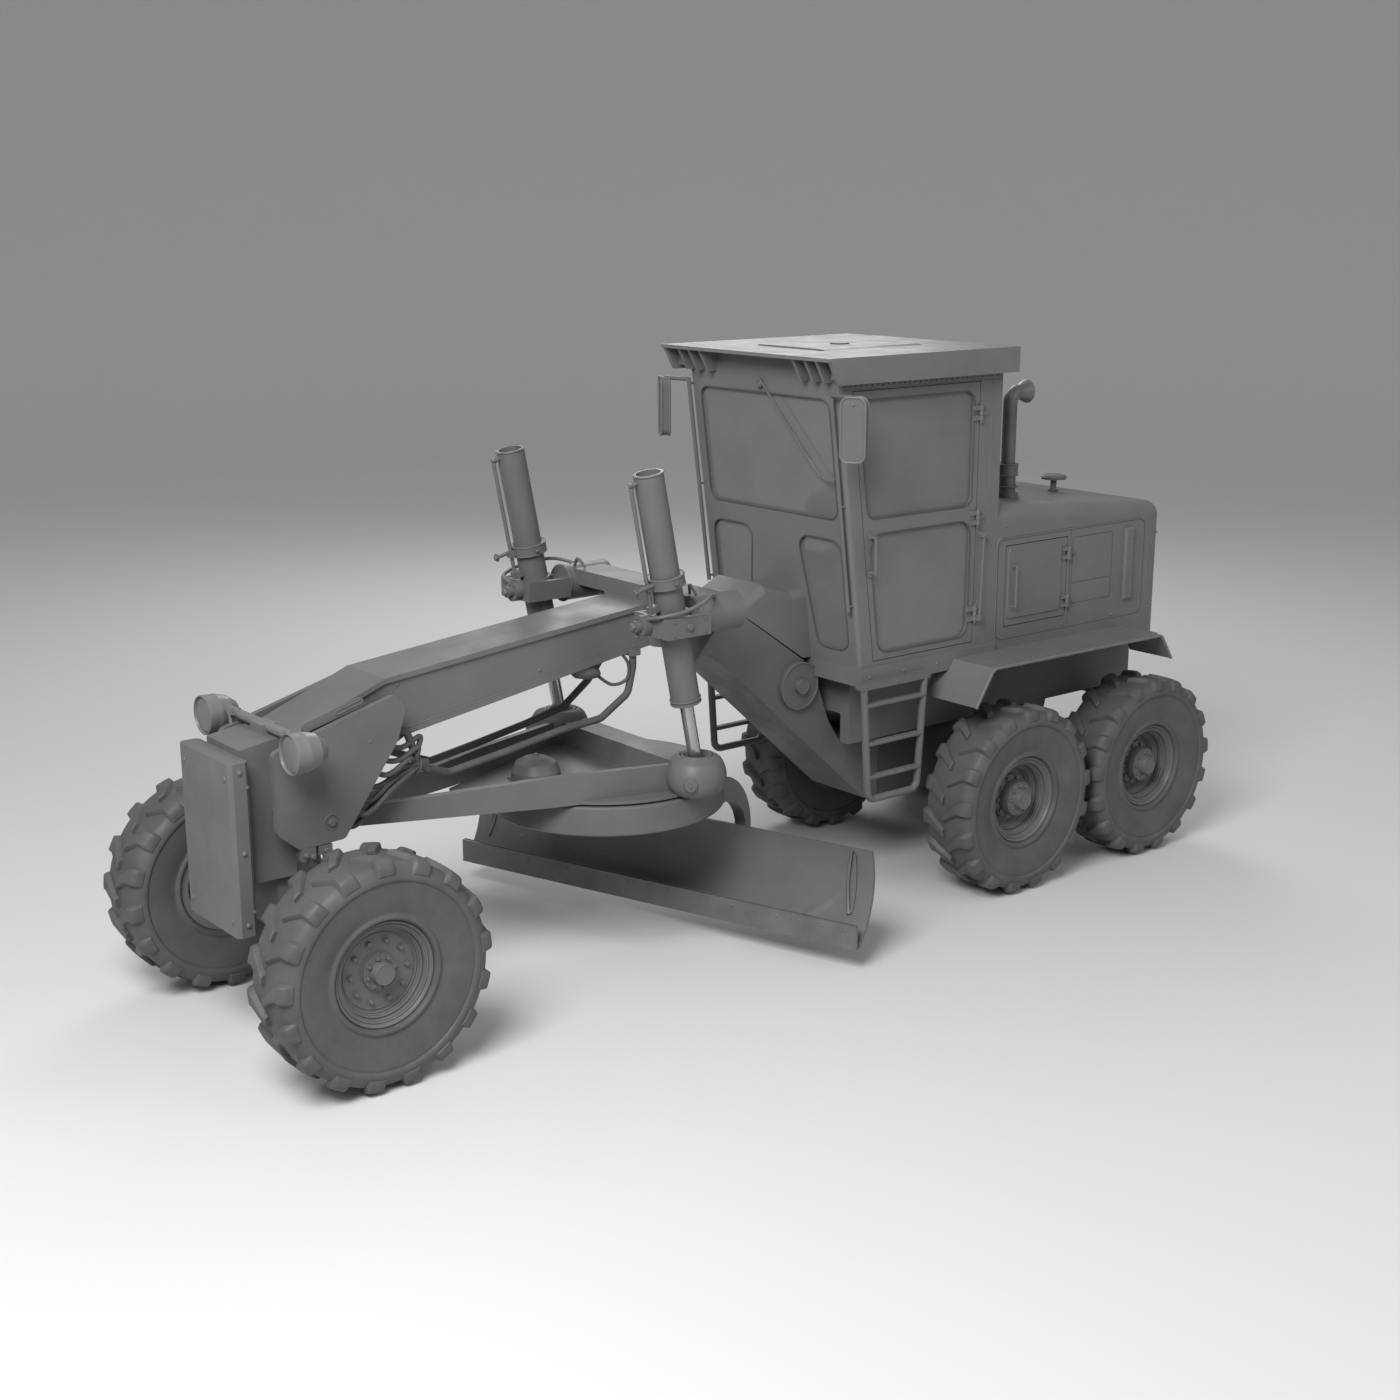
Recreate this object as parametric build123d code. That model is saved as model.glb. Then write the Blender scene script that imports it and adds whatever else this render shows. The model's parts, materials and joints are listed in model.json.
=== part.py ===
from build123d import *
import os
from math import atan2, cos, degrees, hypot, pi, sin

os.makedirs("parts", exist_ok=True)

# Motor grader at full size, in millimetres
# The machine looks along -Y, its left side is +X and up is +Z
# The origin lies on the ground under the middle of the machine

# Fits
SHAFT_FIT = 0.05
SEAT_GAP = 0.3
SKIN = 1.0

# Tyres
TYRE_RADIUS = 630.0
TYRE_HALF_WIDTH = 200.0
TREAD_DEPTH = 34.0
SIDEWALL_DROP = 156.0
SHOULDER_WIDTH = 26.0
LUG_COUNT = 17
LUG_ROOT = 36.0
LUG_OVERHANG = 2.0
LUG_MIDDLE = 6.0
LUG_REACH = 50.0
LUG_WIDTH = 64.0
LUG_TIP_WIDTH = 38.0
LUG_TOP_SHARE = 0.9
CASING_RADIUS = TYRE_RADIUS - TREAD_DEPTH
BULGE_RADIUS = CASING_RADIUS - SIDEWALL_DROP
TREAD_HALF_WIDTH = TYRE_HALF_WIDTH - SHOULDER_WIDTH

# Rims
RIM_SEAT_RADIUS = 258.0
RIM_LIP = 28.0
RIM_HALF_WIDTH = 132.0
RIM_WALL = 14.0
RIM_EDGE = 12.0
BEAD_INSET = 32.0
SPINDLE_RADIUS = 42.0
STUB_RADIUS = 60.0
DISC_THICKNESS = 18.0
FRONT_DISC_INNER = 40.0
FRONT_HUB_BACK = 80.0
FRONT_HUB_RADIUS = 90.0
FRONT_FLANGE_RADIUS = 98.0
FRONT_FLANGE_OUTER = 84.0
FRONT_CAP_WALL = 22.0
SPINDLE_END_GAP = 25.0
REAR_DISH_BACK = 30.0
REAR_DISH_INNER = 54.0
REAR_DISH_OUTER = 19.0
REAR_DISC_INNER = 20.0
REAR_HUB_BACK = 90.0
REAR_HUB_BORE = 90.0
STUB_REACH = 80.0
REAR_NOSE = 16.0
# radius, axial place from the wheel's middle
REAR_HUB = ((120, -REAR_HUB_BACK), (120, -20), (150, -20), (150, 20), (118, 28), (112, 100), (70, 108))
RIM_INNER = RIM_SEAT_RADIUS - RIM_WALL
FRONT_BORE_END = RIM_HALF_WIDTH - FRONT_CAP_WALL

# Front axle and steering
KINGPIN_X = 600.0
KINGPIN_RADIUS = 28.0
KINGPIN_TO_TYRE = 100.0
KNUCKLE_GAP = 6.0
KNUCKLE_EAR = 45.0
KNUCKLE_PLATE = 30.0
KNUCKLE_HALF_LENGTH = 60.0
AXLE_EYE_RADIUS = 66.0
AXLE_EYE_HEIGHT = 170.0
AXLE_HALF_LENGTH = 65.0
AXLE_HALF_HEIGHT = 55.0
AXLE_MIDDLE_RISE = 90.0
AXLE_MIDDLE_DROP = 70.0
AXLE_MIDDLE_HALF = 200.0
STEER_ARM_LENGTH = 190.0
STEER_ARM_THICKNESS = 30.0
STEER_PIN_RADIUS = 12.0
TIE_ROD_RADIUS = 17.0
TIE_ROD_DROP = 25.0
TIE_EYE_RADIUS = 32.0
TIE_EYE_HEIGHT = 42.0

# Wheel places
FRONT_TO_MID = 4784.0
TYRE_SPACE = 25.0
TANDEM_INNER = 500.0
TANDEM_OUTER = 690.0
TANDEM_RADIUS = 270.0
TANDEM_EDGE = 18.0
TANDEM_TO_TYRE = 30.0
REAR_TUBE_RADIUS = 135.0
FRONT_WHEEL_X = KINGPIN_X + KINGPIN_TO_TYRE + TYRE_HALF_WIDTH
REAR_WHEEL_X = TANDEM_OUTER + TANDEM_TO_TYRE + TYRE_HALF_WIDTH
AXLE_Z = TYRE_RADIUS
MID_TO_REAR = 2 * TYRE_RADIUS + TYRE_SPACE
FRONT_Y = -(FRONT_TO_MID + MID_TO_REAR) / 2
MID_Y = FRONT_Y + FRONT_TO_MID
REAR_Y = MID_Y + MID_TO_REAR
TANDEM_Y = (MID_Y + REAR_Y) / 2

# Front beam
BEAM_HALF_WIDTH = 188.0
FLANGE_LEDGE = 16.0
FLANGE_THICKNESS = 30.0
BEAM_NOSE_TOP = 1728.0
BEAM_NOSE_DEPTH = 348.0
BEAM_REAR_RISE = 402.0
BEAM_REAR_DEPTH = 258.0
BEAM_FRONT = FRONT_Y - 13.0
BEAM_REAR = MID_Y - 2440.0
BEAM_NOSE_BOTTOM = BEAM_NOSE_TOP - BEAM_NOSE_DEPTH
BEAM_REAR_TOP = BEAM_NOSE_TOP + BEAM_REAR_RISE
BEAM_REAR_BOTTOM = BEAM_REAR_TOP - BEAM_REAR_DEPTH
TOP_BEND = (FRONT_Y + 535.0, BEAM_NOSE_TOP + 216.0)
BELLY_BEND = (FRONT_Y + 650.0, BEAM_NOSE_BOTTOM + 227.0)
NOSE_STEP_Y = FRONT_Y + 240.0

# Nose
HEAD_HALF_WIDTH = BEAM_HALF_WIDTH + 7.0
HEAD_FRONT = FRONT_Y - 330.0
HEAD_BACK = FRONT_Y - 40.0
HEAD_BOTTOM = 950.0
LAMP_PAD_Z = BEAM_NOSE_TOP - 10.0
SIDE_PLATE_X = 285.0
SIDE_PLATE_THICKNESS = 40.0
SIDE_PLATE_CORNER = 38.0
# along Y from the front axle, height from the beam's nose
SIDE_PLATE = ((-205, -48), (530, 152), (590, 72), (535, -103), (190, -590), (-80, -600), (-205, -493))
PUSH_HALF_WIDTH = 300.0
PUSH_DEPTH = 116.0
PUSH_BOTTOM = AXLE_Z + 76.0
PUSH_TOP = BEAM_NOSE_TOP - 73.0
PUSH_CHAMFER = 22.0
PUSH_HOLE_RADIUS = 12.0
PUSH_HOLE_X = PUSH_HALF_WIDTH - 60.0
PUSH_HOLE_HEIGHTS = (PUSH_BOTTOM + 84.0, PUSH_TOP - 85.0)
LAMP_X = 506.0
LAMP_Y = FRONT_Y - 191.0
LAMP_Z = LAMP_PAD_Z - 2.0
LAMP_BAR_Z = LAMP_PAD_Z + 32.0
LAMP_BAR_RADIUS = 28.0
# radius, depth from the lens
LAMP_SECTION = ((0, 0), (104, 0), (108, 14), (110, 60), (92, 130), (55, 180), (0, 200))

# Hoses under the beam
HOSE_RADIUS = 22.0
HOSE_BEND = 70.0
HOSE_BOSS = 24.0
HOSE_BOSS_HALF = 34.0
HOSE_LUG = 40.0
HOSE_END = (236.0, FRONT_Y + 494.0, LAMP_PAD_Z - 68.0)
HOSE_REAR_Y = MID_Y - 2400.0
HOSE_RUN = 1890.0
# across from the middle, along Y from the front end in the run the points were chosen for, height
LEFT_HOSE = (
    (195, 1690, 1600), (195, 1490, 1478), (195, 1180, 1452),
    (192, 820, 1392), (140, 460, 1322), (205, 240, 1414),
)
RIGHT_HOSE = (
    (-195, 1680, 1610), (-195, 1490, 1470), (-195, 1210, 1410),
    (-192, 870, 1352), (-140, 510, 1318), (-205, 255, 1414),
)
HOSE_TOPS = ((195.0, MID_Y - 2560.0), (-195.0, MID_Y - 2475.0))
HOSE_APPROACH = 140.0

# Lift cylinders and their carrier
LIFT_X = 690.0
TRUNNION_Y = MID_Y - 2644.0
TRUNNION_Z = BEAM_REAR_TOP - 10.0
TRUNNION_RADIUS = 28.0
BARREL_WALL = 16.0
BARREL_BORE = 70.0
BARREL_ABOVE = 888.0
BARREL_BELOW = 495.0
BARREL_GLAND = 70.0
COLLAR_WALL = 16.0
COLLAR_HEIGHT = 130.0
CLAMP_FOOT = 225.0
CLAMP_HEIGHT = 62.0
ROD_RADIUS = 40.0
ROD_BALL_COLLAR = 6.0
ROD_BALL_PLAY = 12.0
PISTON_TOP = 100.0
PISTON_HEIGHT = 60.0
PIPE_RADIUS = 12.0
PIPE_REACH = 48.0
PIPE_TOP = 850.0
PIPE_FOOT = 120.0
YOKE_PLATE = 34.0
YOKE_GAP = 20.0
YOKE_HALF_HEIGHT = 60.0
ARM_TUBE_RADIUS = 112.0
ARM_TUBE_INSET = 40.0
ARM_HEIGHT = 95.0
BARREL_RADIUS = BARREL_BORE + BARREL_WALL
COLLAR_RADIUS = BARREL_RADIUS + COLLAR_WALL
ROD_BALL_RADIUS = ROD_RADIUS + ROD_BALL_COLLAR

# Blade and circle
BLADE_LENGTH = 3000.0
BLADE_SHIFT = 100.0
BLADE_FOOT = 150.0
BLADE_HEIGHT = 570.0
BLADE_THICKNESS = 24.0
BLADE_SET_BACK = 297.0
BLADE_TOP_BACK = 446.0
BLADE_BELLY = 95.0
BLADE_RIBS = (-1060.0, -300.0, 30.0, 950.0)
END_RIB_INSET = 100.0
FACE_RIB_INSET = 115.0
RIB_THICKNESS = 24.0
EDGE_HEIGHT = 150.0
EDGE_THICKNESS = 18.0
RAIL_SIZE = 45.0
RAIL_END_INSET = 95.0
RAIL_FRONT = BLADE_TOP_BACK + 89.0
RAIL_HEIGHTS = (BLADE_FOOT + 175.0, BLADE_FOOT + BLADE_HEIGHT - 95.0)
BLADE_TO_CIRCLE = 167.0
CIRCLE_Y = MID_Y - 2620.0
CIRCLE_RADIUS = 720.0
CIRCLE_WIDTH = 145.0
CIRCLE_HEIGHT = 175.0
CIRCLE_EDGE = 10.0
CIRCLE_TEETH = 64
TOOTH_DEPTH = 34.0
TOOTH_HEIGHT = 70.0
CIRCLE_YAW = 18.1
ARM_THICKNESS = 80.0
ARM_X = CIRCLE_RADIUS - 120.0
CIRCLE_LOW = BLADE_FOOT + BLADE_HEIGHT + BLADE_TO_CIRCLE
CIRCLE_TOP = CIRCLE_LOW + CIRCLE_HEIGHT
CIRCLE_INNER = CIRCLE_RADIUS - CIRCLE_WIDTH

# Drawbar
HITCH_Y = FRONT_Y + 110.0
HITCH_Z = BEAM_NOSE_BOTTOM - 220.0
HITCH_BALL_RADIUS = 70.0
HITCH_PLAY = 0.5
SOCKET_HALF_WIDTH = 125.0
SOCKET_TOP = HITCH_Z + 102.0
PAD_GAP = 0.5
CIRCLE_TO_DRAWBAR = 13.0
DRAWBAR_BOTTOM = CIRCLE_TOP + CIRCLE_TO_DRAWBAR
DRAWBAR_HEIGHT = 180.0
DRAWBAR_SIDE = 48.0
BALL_Y = CIRCLE_Y + 150.0
BALL_Z = DRAWBAR_BOTTOM + 155.0
# radius, height over the drawbar's underside
CUP_SECTION = ((0, 0), (120, 0), (165, 55), (172, 120), (140, 195), (85, 232), (0, 232))
# radius, height over the floor
DOME_SECTION = ((0, 0), (150, 0), (146, 70), (120, 124), (70, 150), (30, 158), (0, 158))
PIVOT_LEAN = degrees(atan2(BALL_Y - TRUNNION_Y, TRUNNION_Z - BALL_Z))
ROD_REACH = hypot(BALL_Y - TRUNNION_Y, TRUNNION_Z - BALL_Z)

# Rear frame
RAIL_INNER = 350.0
RAIL_WIDTH = 80.0
RAIL_TOP = 1450.0
RAIL_DEPTH = 400.0
CROSS_LENGTH = 110.0
CROSS_HEIGHT = 100.0
TOW_PIN_RADIUS = 25.0
TOW_EAR_THICKNESS = 25.0
TOW_EAR_PITCH = 85.0
RAIL_OUTER = RAIL_INNER + RAIL_WIDTH
RAIL_BOTTOM = RAIL_TOP - RAIL_DEPTH

# Gooseneck
GOOSENECK_HALF_WIDTH = 250.0
KEEL_DEPTH = 60.0
GOOSENECK_FOOT = AXLE_Z - 70.0
BOSS_RADIUS = 155.0
BOSS_HUB_RADIUS = 48.0

# Cab
CAB_HALF_WIDTH = 700.0
CAB_WALL = 50.0
CAB_HEIGHT = 1765.0
CAB_LENGTH = 1210.0
CAB_LEAN = 230.0
CAB_CORNER = 26.0
FLOOR_THICKNESS = 119.0
WAIST_RISE = 840.0
WAIST_HEIGHT = 95.0
WINDOW_CORNER = 70.0
LOW_WINDOW_CORNER = 95.0
FRONT_LOW_CORNER = 85.0
FRONT_LOW_FOOT = 330.0
FRONT_LOW_HEAD = 215.0
FAIRING_CORNER = 60.0
ROOF_DEPTH = 160.0
ROOF_OVERHANG = 97.0
ROOF_SKIN = 22.0
ROOF_RIB_INSETS = (365.0, 257.0, 157.0)
HATCH_HALF_LENGTH = 420.0
FLOOR_LEDGE = 18.0
DOOR_GAP = 6.0
DOOR_FRONT_PILLAR = 120.0
DOOR_REAR_PILLAR = 205.0
HINGE_STAND = 14.0
HINGE_PIN_RADIUS = 7.0
HINGE_WALL = 7.0
HINGE_EYE_HEIGHT = 30.0
GLASS_THICKNESS = 10.0
GLASS_RECESS = 16.0
HANDLE_INSET = 35.0
HANDLE_REACH = 55.0
HANDLE_RADIUS = 9.0
HANDLE_FOOT = 34.0
SEAT_HALF_WIDTH = 240.0
STEERING_RADIUS = 190.0
STEERING_GRIP = 16.0
MIRROR_REACH = 205.0
MIRROR_WIDTH = 150.0
MIRROR_HEIGHT = 380.0
MIRROR_DEPTH = 52.0
HAND_RAIL_RADIUS = 13.0
RAIL_STAND = 40.0
CAB_REAR = MID_Y + 40.0
CAB_FRONT_FOOT = CAB_REAR - CAB_LENGTH
CAB_FRONT_HEAD = CAB_FRONT_FOOT - CAB_LEAN
CAB_FLOOR_BOTTOM = RAIL_TOP + 56.0
CAB_FLOOR_TOP = CAB_FLOOR_BOTTOM + FLOOR_THICKNESS
CAB_TOP = CAB_FLOOR_TOP + CAB_HEIGHT
WAIST_BOTTOM = CAB_FLOOR_TOP + WAIST_RISE
WAIST_TOP = WAIST_BOTTOM + WAIST_HEIGHT
ROOF_HALF_WIDTH = CAB_HALF_WIDTH + ROOF_OVERHANG
ROOF_BOTTOM = CAB_TOP + 10.0
ROOF_TOP = ROOF_BOTTOM + ROOF_DEPTH
ROOF_FRONT = CAB_FRONT_HEAD - 162.0
ROOF_REAR = CAB_REAR + 44.0
DOOR_HINGE_Y = CAB_REAR - DOOR_REAR_PILLAR
DOOR_BOTTOM = CAB_FLOOR_TOP + 37.0
DOOR_TOP = CAB_TOP - 45.0
HINGE_X = CAB_HALF_WIDTH + HINGE_STAND
HINGE_HEIGHTS = (DOOR_BOTTOM + 188.0, WAIST_BOTTOM + 15.0, DOOR_TOP - 195.0)
HANDLE_HEIGHTS = (WAIST_BOTTOM - 235.0, WAIST_BOTTOM - 15.0)

# Ladders
LADDER_X = CAB_HALF_WIDTH + 62.0
LADDER_TUBE = 24.0
LADDER_BEND = 60.0
LADDER_DROP = 726.0
LADDER_STEP_DROPS = (577.0, 357.0, 106.0)
LADDER_FRONT = CAB_FRONT_FOOT - 20.0
LADDER_REAR = MID_Y - TYRE_RADIUS - 32.0

# Hood and fenders
HOOD_HALF_WIDTH = CAB_HALF_WIDTH - 2.0
HOOD_LENGTH = 1730.0
HOOD_HEIGHT = 1083.0
HOOD_FALL = 135.0
HOOD_WALL = 28.0
HOOD_CORNER = 130.0
HOOD_SHOULDER = 100.0
SEAM_WIDTH = 6.0
SEAM_DEPTH = 4.0
SCOOP_DEPTH = 26.0
HOOD_EYE_HEIGHT = 26.0
CAP_RADIUS = 88.0
GRILLE_HALF_WIDTH = 430.0
GRILLE_SLATS = 12
STACK_X = 300.0
STACK_PAD = 10.0
STACK_RADIUS = 48.0
STACK_HEIGHT = 670.0
STACK_BEND = 74.0
STACK_PAD_RADIUS = 84.0
FLARE_LENGTH = 75.0
FLARE_RADIUS = 80.0
FENDER_THICKNESS = 9.0
FENDER_BEAD = 11.0
FENDER_CORNER = 60.0
HOOD_BOTTOM = RAIL_TOP + 2.0
HOOD_FRONT = CAB_REAR + 2.0
HOOD_REAR = HOOD_FRONT + HOOD_LENGTH
HOOD_FRONT_TOP = HOOD_BOTTOM + HOOD_HEIGHT
HOOD_REAR_TOP = HOOD_FRONT_TOP - HOOD_FALL
# low Y, high Y, low Z, high Z
HOOD_DOOR = (HOOD_FRONT + 98.0, HOOD_FRONT + 703.0, HOOD_BOTTOM + 268.0, HOOD_REAR_TOP - 145.0)
SIDE_PANEL = (HOOD_FRONT + 18.0, HOOD_REAR - 212.0, HOOD_BOTTOM + 178.0, HOOD_REAR_TOP - 100.0)
REAR_PANEL = (HOOD_DOOR[1] + 55.0, HOOD_REAR - 557.0, HOOD_BOTTOM + 338.0, HOOD_REAR_TOP - 155.0)
SIDE_VENT = (HOOD_REAR - 437.0, HOOD_REAR - 347.0, HOOD_BOTTOM + 298.0, HOOD_REAR_TOP - 140.0)
GRILLE_HEIGHTS = (HOOD_BOTTOM + 188.0, HOOD_REAR_TOP - 160.0)
HOOD_HINGE_HEIGHTS = (HOOD_DOOR[2] + 100.0, HOOD_DOOR[3] - 105.0)
STACK_Y = HOOD_FRONT + 518.0
FENDER_OUTER = REAR_WHEEL_X + 152.0
# along Y, height
FENDER_BENDS = (
    (MID_Y - 505.0, HOOD_BOTTOM - 112.0),
    (MID_Y - 350.0, HOOD_BOTTOM + 125.0),
    (REAR_Y + 45.0, HOOD_BOTTOM + 111.0),
    (REAR_Y + 165.0, HOOD_BOTTOM - 67.0),
)


def placed(rows, y, z=0.0):
    """The (along Y, height) rows of a table, moved to a place."""
    return [(y + along, z + height) for along, height in rows]


def along_x(points, low, high, corner=0.0):
    """A closed outline of (y, z) points, carried along X from low to high."""
    plane = Plane(origin=(low, 0, 0), x_dir=(0, 1, 0), z_dir=(1, 0, 0))
    return extrude(plane * outline(points, corner), high - low)


def along_y(points, low, high, corner=0.0):
    """A closed outline of (x, z) points, carried along Y from low to high."""
    plane = Plane(origin=(0, high, 0), x_dir=(1, 0, 0), z_dir=(0, -1, 0))
    return extrude(plane * outline(points, corner), high - low)


def along_z(points, low, high, corner=0.0):
    """A closed outline of (x, y) points, carried along Z from low to high."""
    return Pos(0, 0, low) * extrude(outline(points, corner), high - low)


def outline(points, corner=0.0):
    """A flat face through the points, its corners rounded as asked or as far as its shortest side allows."""
    face = make_face(Polyline(*points, close=True))
    if not corner:
        return face
    shortest = min(edge.length for edge in face.edges())
    return fillet(face.vertices(), min(corner, 0.45 * shortest))


def block(low_x, high_x, low_y, high_y, low_z, high_z):
    """A box between two corners."""
    size = (high_x - low_x, high_y - low_y, high_z - low_z)
    middle = ((low_x + high_x) / 2, (low_y + high_y) / 2, (low_z + high_z) / 2)
    return Pos(*middle) * Box(*size)


def bar(start, end, radius):
    """A round bar between two points."""
    plane = Plane(origin=start, z_dir=Vector(*end) - Vector(*start))
    return extrude(plane * Circle(radius), (Vector(*end) - Vector(*start)).length)


def upright(x, y, z, radius, height):
    """A round upright bar about a middle point."""
    return Pos(x, y, z) * Cylinder(radius, height)


def both_sides(shape):
    """The shape and its mirror image across the middle of the machine."""
    return shape + mirror(shape, about=Plane.YZ)


def turned(points):
    """A face of (radius, axial) points turned about the local X axis into a ring or a disc."""
    face = make_face(Polyline(*[(axial, radius) for radius, axial in points], close=True))
    return revolve(face, Axis.X)


def turned_upright(points):
    """A face of (radius, height) points turned about the local Z axis."""
    return revolve(Plane.XZ * make_face(Polyline(*points, close=True)), Axis.Z)


def pipe(path, start, towards, radius):
    """A round pipe along a path that leaves its start towards a second point."""
    return sweep(Plane(origin=start, z_dir=Vector(*towards) - Vector(*start)) * Circle(radius), path)


def write(name, shape):
    """Writes one piece of the machine to its own file."""
    shape.label = name
    export_step(shape, f"parts/{name}.step")


def paired(name, shape):
    """Writes a left piece and its mirror image on the right."""
    write(f"{name}_left", shape)
    write(f"{name}_right", mirror(shape, about=Plane.YZ))


# Wheels


def faceted(rings, ring_shaped=False):
    """A solid with flat faces between neighbouring rings of points, its ends filled or else joined."""
    pairs = list(zip(rings, rings[1:]))
    faces = [outline(ring).face() for ring in (rings[0], rings[-1])]
    if ring_shaped:
        pairs.append((rings[-1], rings[0]))
        faces = []
    for ring, following in pairs:
        for here in range(len(ring)):
            there = (here + 1) % len(ring)
            faces.append(outline([ring[here], ring[there], following[there], following[here]]).face())
    return Solid(Shell(faces))


def casing_ring(radius, axial):
    """The corners of a polygon about the X axis, with one flat side for every lug."""
    sides = 2 * LUG_COUNT
    corner_radius = radius / cos(pi / sides)
    angles = [(step + 0.5) * 2 * pi / sides for step in range(sides)]
    return [(axial, corner_radius * sin(angle), corner_radius * cos(angle)) for angle in angles]


def lug():
    """The topmost lug of the tread's left half: broad at the shoulder and slanting in to the middle."""
    shoulder = TREAD_HALF_WIDTH + LUG_OVERHANG
    # axial place, place round the tyre
    plan = [
        (shoulder, LUG_REACH),
        (shoulder, LUG_REACH - LUG_WIDTH),
        (LUG_MIDDLE, -LUG_REACH),
        (LUG_MIDDLE, LUG_TIP_WIDTH - LUG_REACH),
    ]
    foot = [(x, y, CASING_RADIUS - LUG_ROOT) for x, y in plan]
    centre = (shoulder + LUG_MIDDLE) / 2
    top = [(centre + LUG_TOP_SHARE * (x - centre), LUG_TOP_SHARE * y, TYRE_RADIUS) for x, y in plan]
    return faceted([foot, top])


def tyre():
    """A tyre about the local X axis: a casing with flats like its tread, and a row of lugs on each half."""
    bead = RIM_SEAT_RADIUS + SEAT_GAP
    bead_half = RIM_HALF_WIDTH - BEAD_INSET
    # radius, axial place
    section = [
        (bead, -bead_half),
        (BULGE_RADIUS, -TYRE_HALF_WIDTH),
        (CASING_RADIUS, -TREAD_HALF_WIDTH),
        (CASING_RADIUS, TREAD_HALF_WIDTH),
        (BULGE_RADIUS, TYRE_HALF_WIDTH),
        (bead, bead_half),
    ]
    casing = faceted([casing_ring(*row) for row in section], ring_shaped=True)
    left = lug()
    right = mirror(left, about=Plane.YZ)
    pitch = 360 / LUG_COUNT
    lugs = [Rot(step * pitch, 0, 0) * left for step in range(LUG_COUNT)]
    lugs += [Rot((step + 0.5) * pitch, 0, 0) * right for step in range(LUG_COUNT)]
    return casing.fuse(*lugs)


def rim_shell():
    """The open drum of a rim with a lip at each edge and a stepped inside."""
    half = RIM_HALF_WIDTH
    lip = RIM_SEAT_RADIUS + RIM_LIP
    return turned([
        (RIM_INNER, -half),
        (lip, -half),
        (lip, -half + RIM_WALL),
        (RIM_SEAT_RADIUS, -half + RIM_WALL),
        (RIM_SEAT_RADIUS, half - RIM_WALL),
        (lip, half - RIM_WALL),
        (lip, half),
        (lip - RIM_EDGE, half),
        (lip - RIM_EDGE - 8, half - RIM_WALL),
        (RIM_INNER + 6, half - RIM_WALL - 4),
        (RIM_INNER + 4, half - 3 * RIM_WALL),
        (RIM_INNER - RIM_EDGE, half - 3 * RIM_WALL - 4),
        (RIM_INNER - RIM_WALL, half - 5 * RIM_WALL - 4),
        (RIM_INNER - RIM_WALL, REAR_DISC_INNER + 10),
        (RIM_INNER, REAR_DISC_INNER),
    ])


def front_rim():
    """A front rim with a shallow disc and a flanged hub, its outer side towards +X."""
    bore = SPINDLE_RADIUS + SHAFT_FIT
    disc = turned([
        (bore, FRONT_DISC_INNER),
        (RIM_INNER + SKIN, FRONT_DISC_INNER),
        (RIM_INNER + SKIN, FRONT_DISC_INNER + DISC_THICKNESS),
        (bore, FRONT_DISC_INNER + DISC_THICKNESS),
    ])
    hub = turned([
        (bore, -FRONT_HUB_BACK),
        (FRONT_HUB_RADIUS, -FRONT_HUB_BACK),
        (FRONT_HUB_RADIUS, FRONT_FLANGE_OUTER - 24),
        (FRONT_FLANGE_RADIUS, FRONT_FLANGE_OUTER - 24),
        (FRONT_FLANGE_RADIUS, FRONT_FLANGE_OUTER),
        (SPINDLE_RADIUS + 20, FRONT_FLANGE_OUTER),
        (SPINDLE_RADIUS + 14, RIM_HALF_WIDTH),
        (0, RIM_HALF_WIDTH),
        (0, FRONT_BORE_END),
        (bore, FRONT_BORE_END),
    ])
    return rim_shell() + disc + hub


def rear_rim():
    """A rear rim with a deep stepped dish and a long hub, its outer side towards +X."""
    bore = STUB_RADIUS + SHAFT_FIT
    disc = turned([
        (bore, -REAR_DISH_BACK),
        (RIM_INNER - REAR_DISH_INNER, -REAR_DISH_BACK),
        (RIM_INNER - REAR_DISH_OUTER, REAR_DISC_INNER),
        (RIM_INNER + SKIN, REAR_DISC_INNER),
        (RIM_INNER + SKIN, REAR_DISC_INNER + DISC_THICKNESS),
        (RIM_INNER - REAR_DISH_OUTER - 10, REAR_DISC_INNER + DISC_THICKNESS),
        (RIM_INNER - REAR_DISH_INNER - 8, DISC_THICKNESS - REAR_DISH_BACK),
        (bore, DISC_THICKNESS - REAR_DISH_BACK),
    ])
    nose = RIM_HALF_WIDTH + REAR_NOSE
    hub = turned([
        (bore, -REAR_HUB_BACK),
        *REAR_HUB,
        (STUB_RADIUS + 2, nose),
        (0, nose),
        (0, REAR_HUB_BORE),
        (bore, REAR_HUB_BORE),
    ])
    return rim_shell() + disc + hub


def wheels():
    """The six wheels, each a tyre and a rim; the right ones are mirror images of the left."""
    # name, side, Y and X of the centre, rim
    table = [
        ("front_left", 1, FRONT_Y, FRONT_WHEEL_X, front_rim),
        ("front_right", -1, FRONT_Y, FRONT_WHEEL_X, front_rim),
        ("mid_left", 1, MID_Y, REAR_WHEEL_X, rear_rim),
        ("mid_right", -1, MID_Y, REAR_WHEEL_X, rear_rim),
        ("rear_left", 1, REAR_Y, REAR_WHEEL_X, rear_rim),
        ("rear_right", -1, REAR_Y, REAR_WHEEL_X, rear_rim),
    ]
    shared_tyre = tyre()
    for name, side, y, x, make_rim in table:
        for kind, piece in (("tyre", shared_tyre), ("rim", make_rim())):
            standing = Pos(x, y, AXLE_Z) * piece
            write(f"{kind}_{name}", standing if side > 0 else mirror(standing, about=Plane.YZ))


# Front axle and steering


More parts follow.
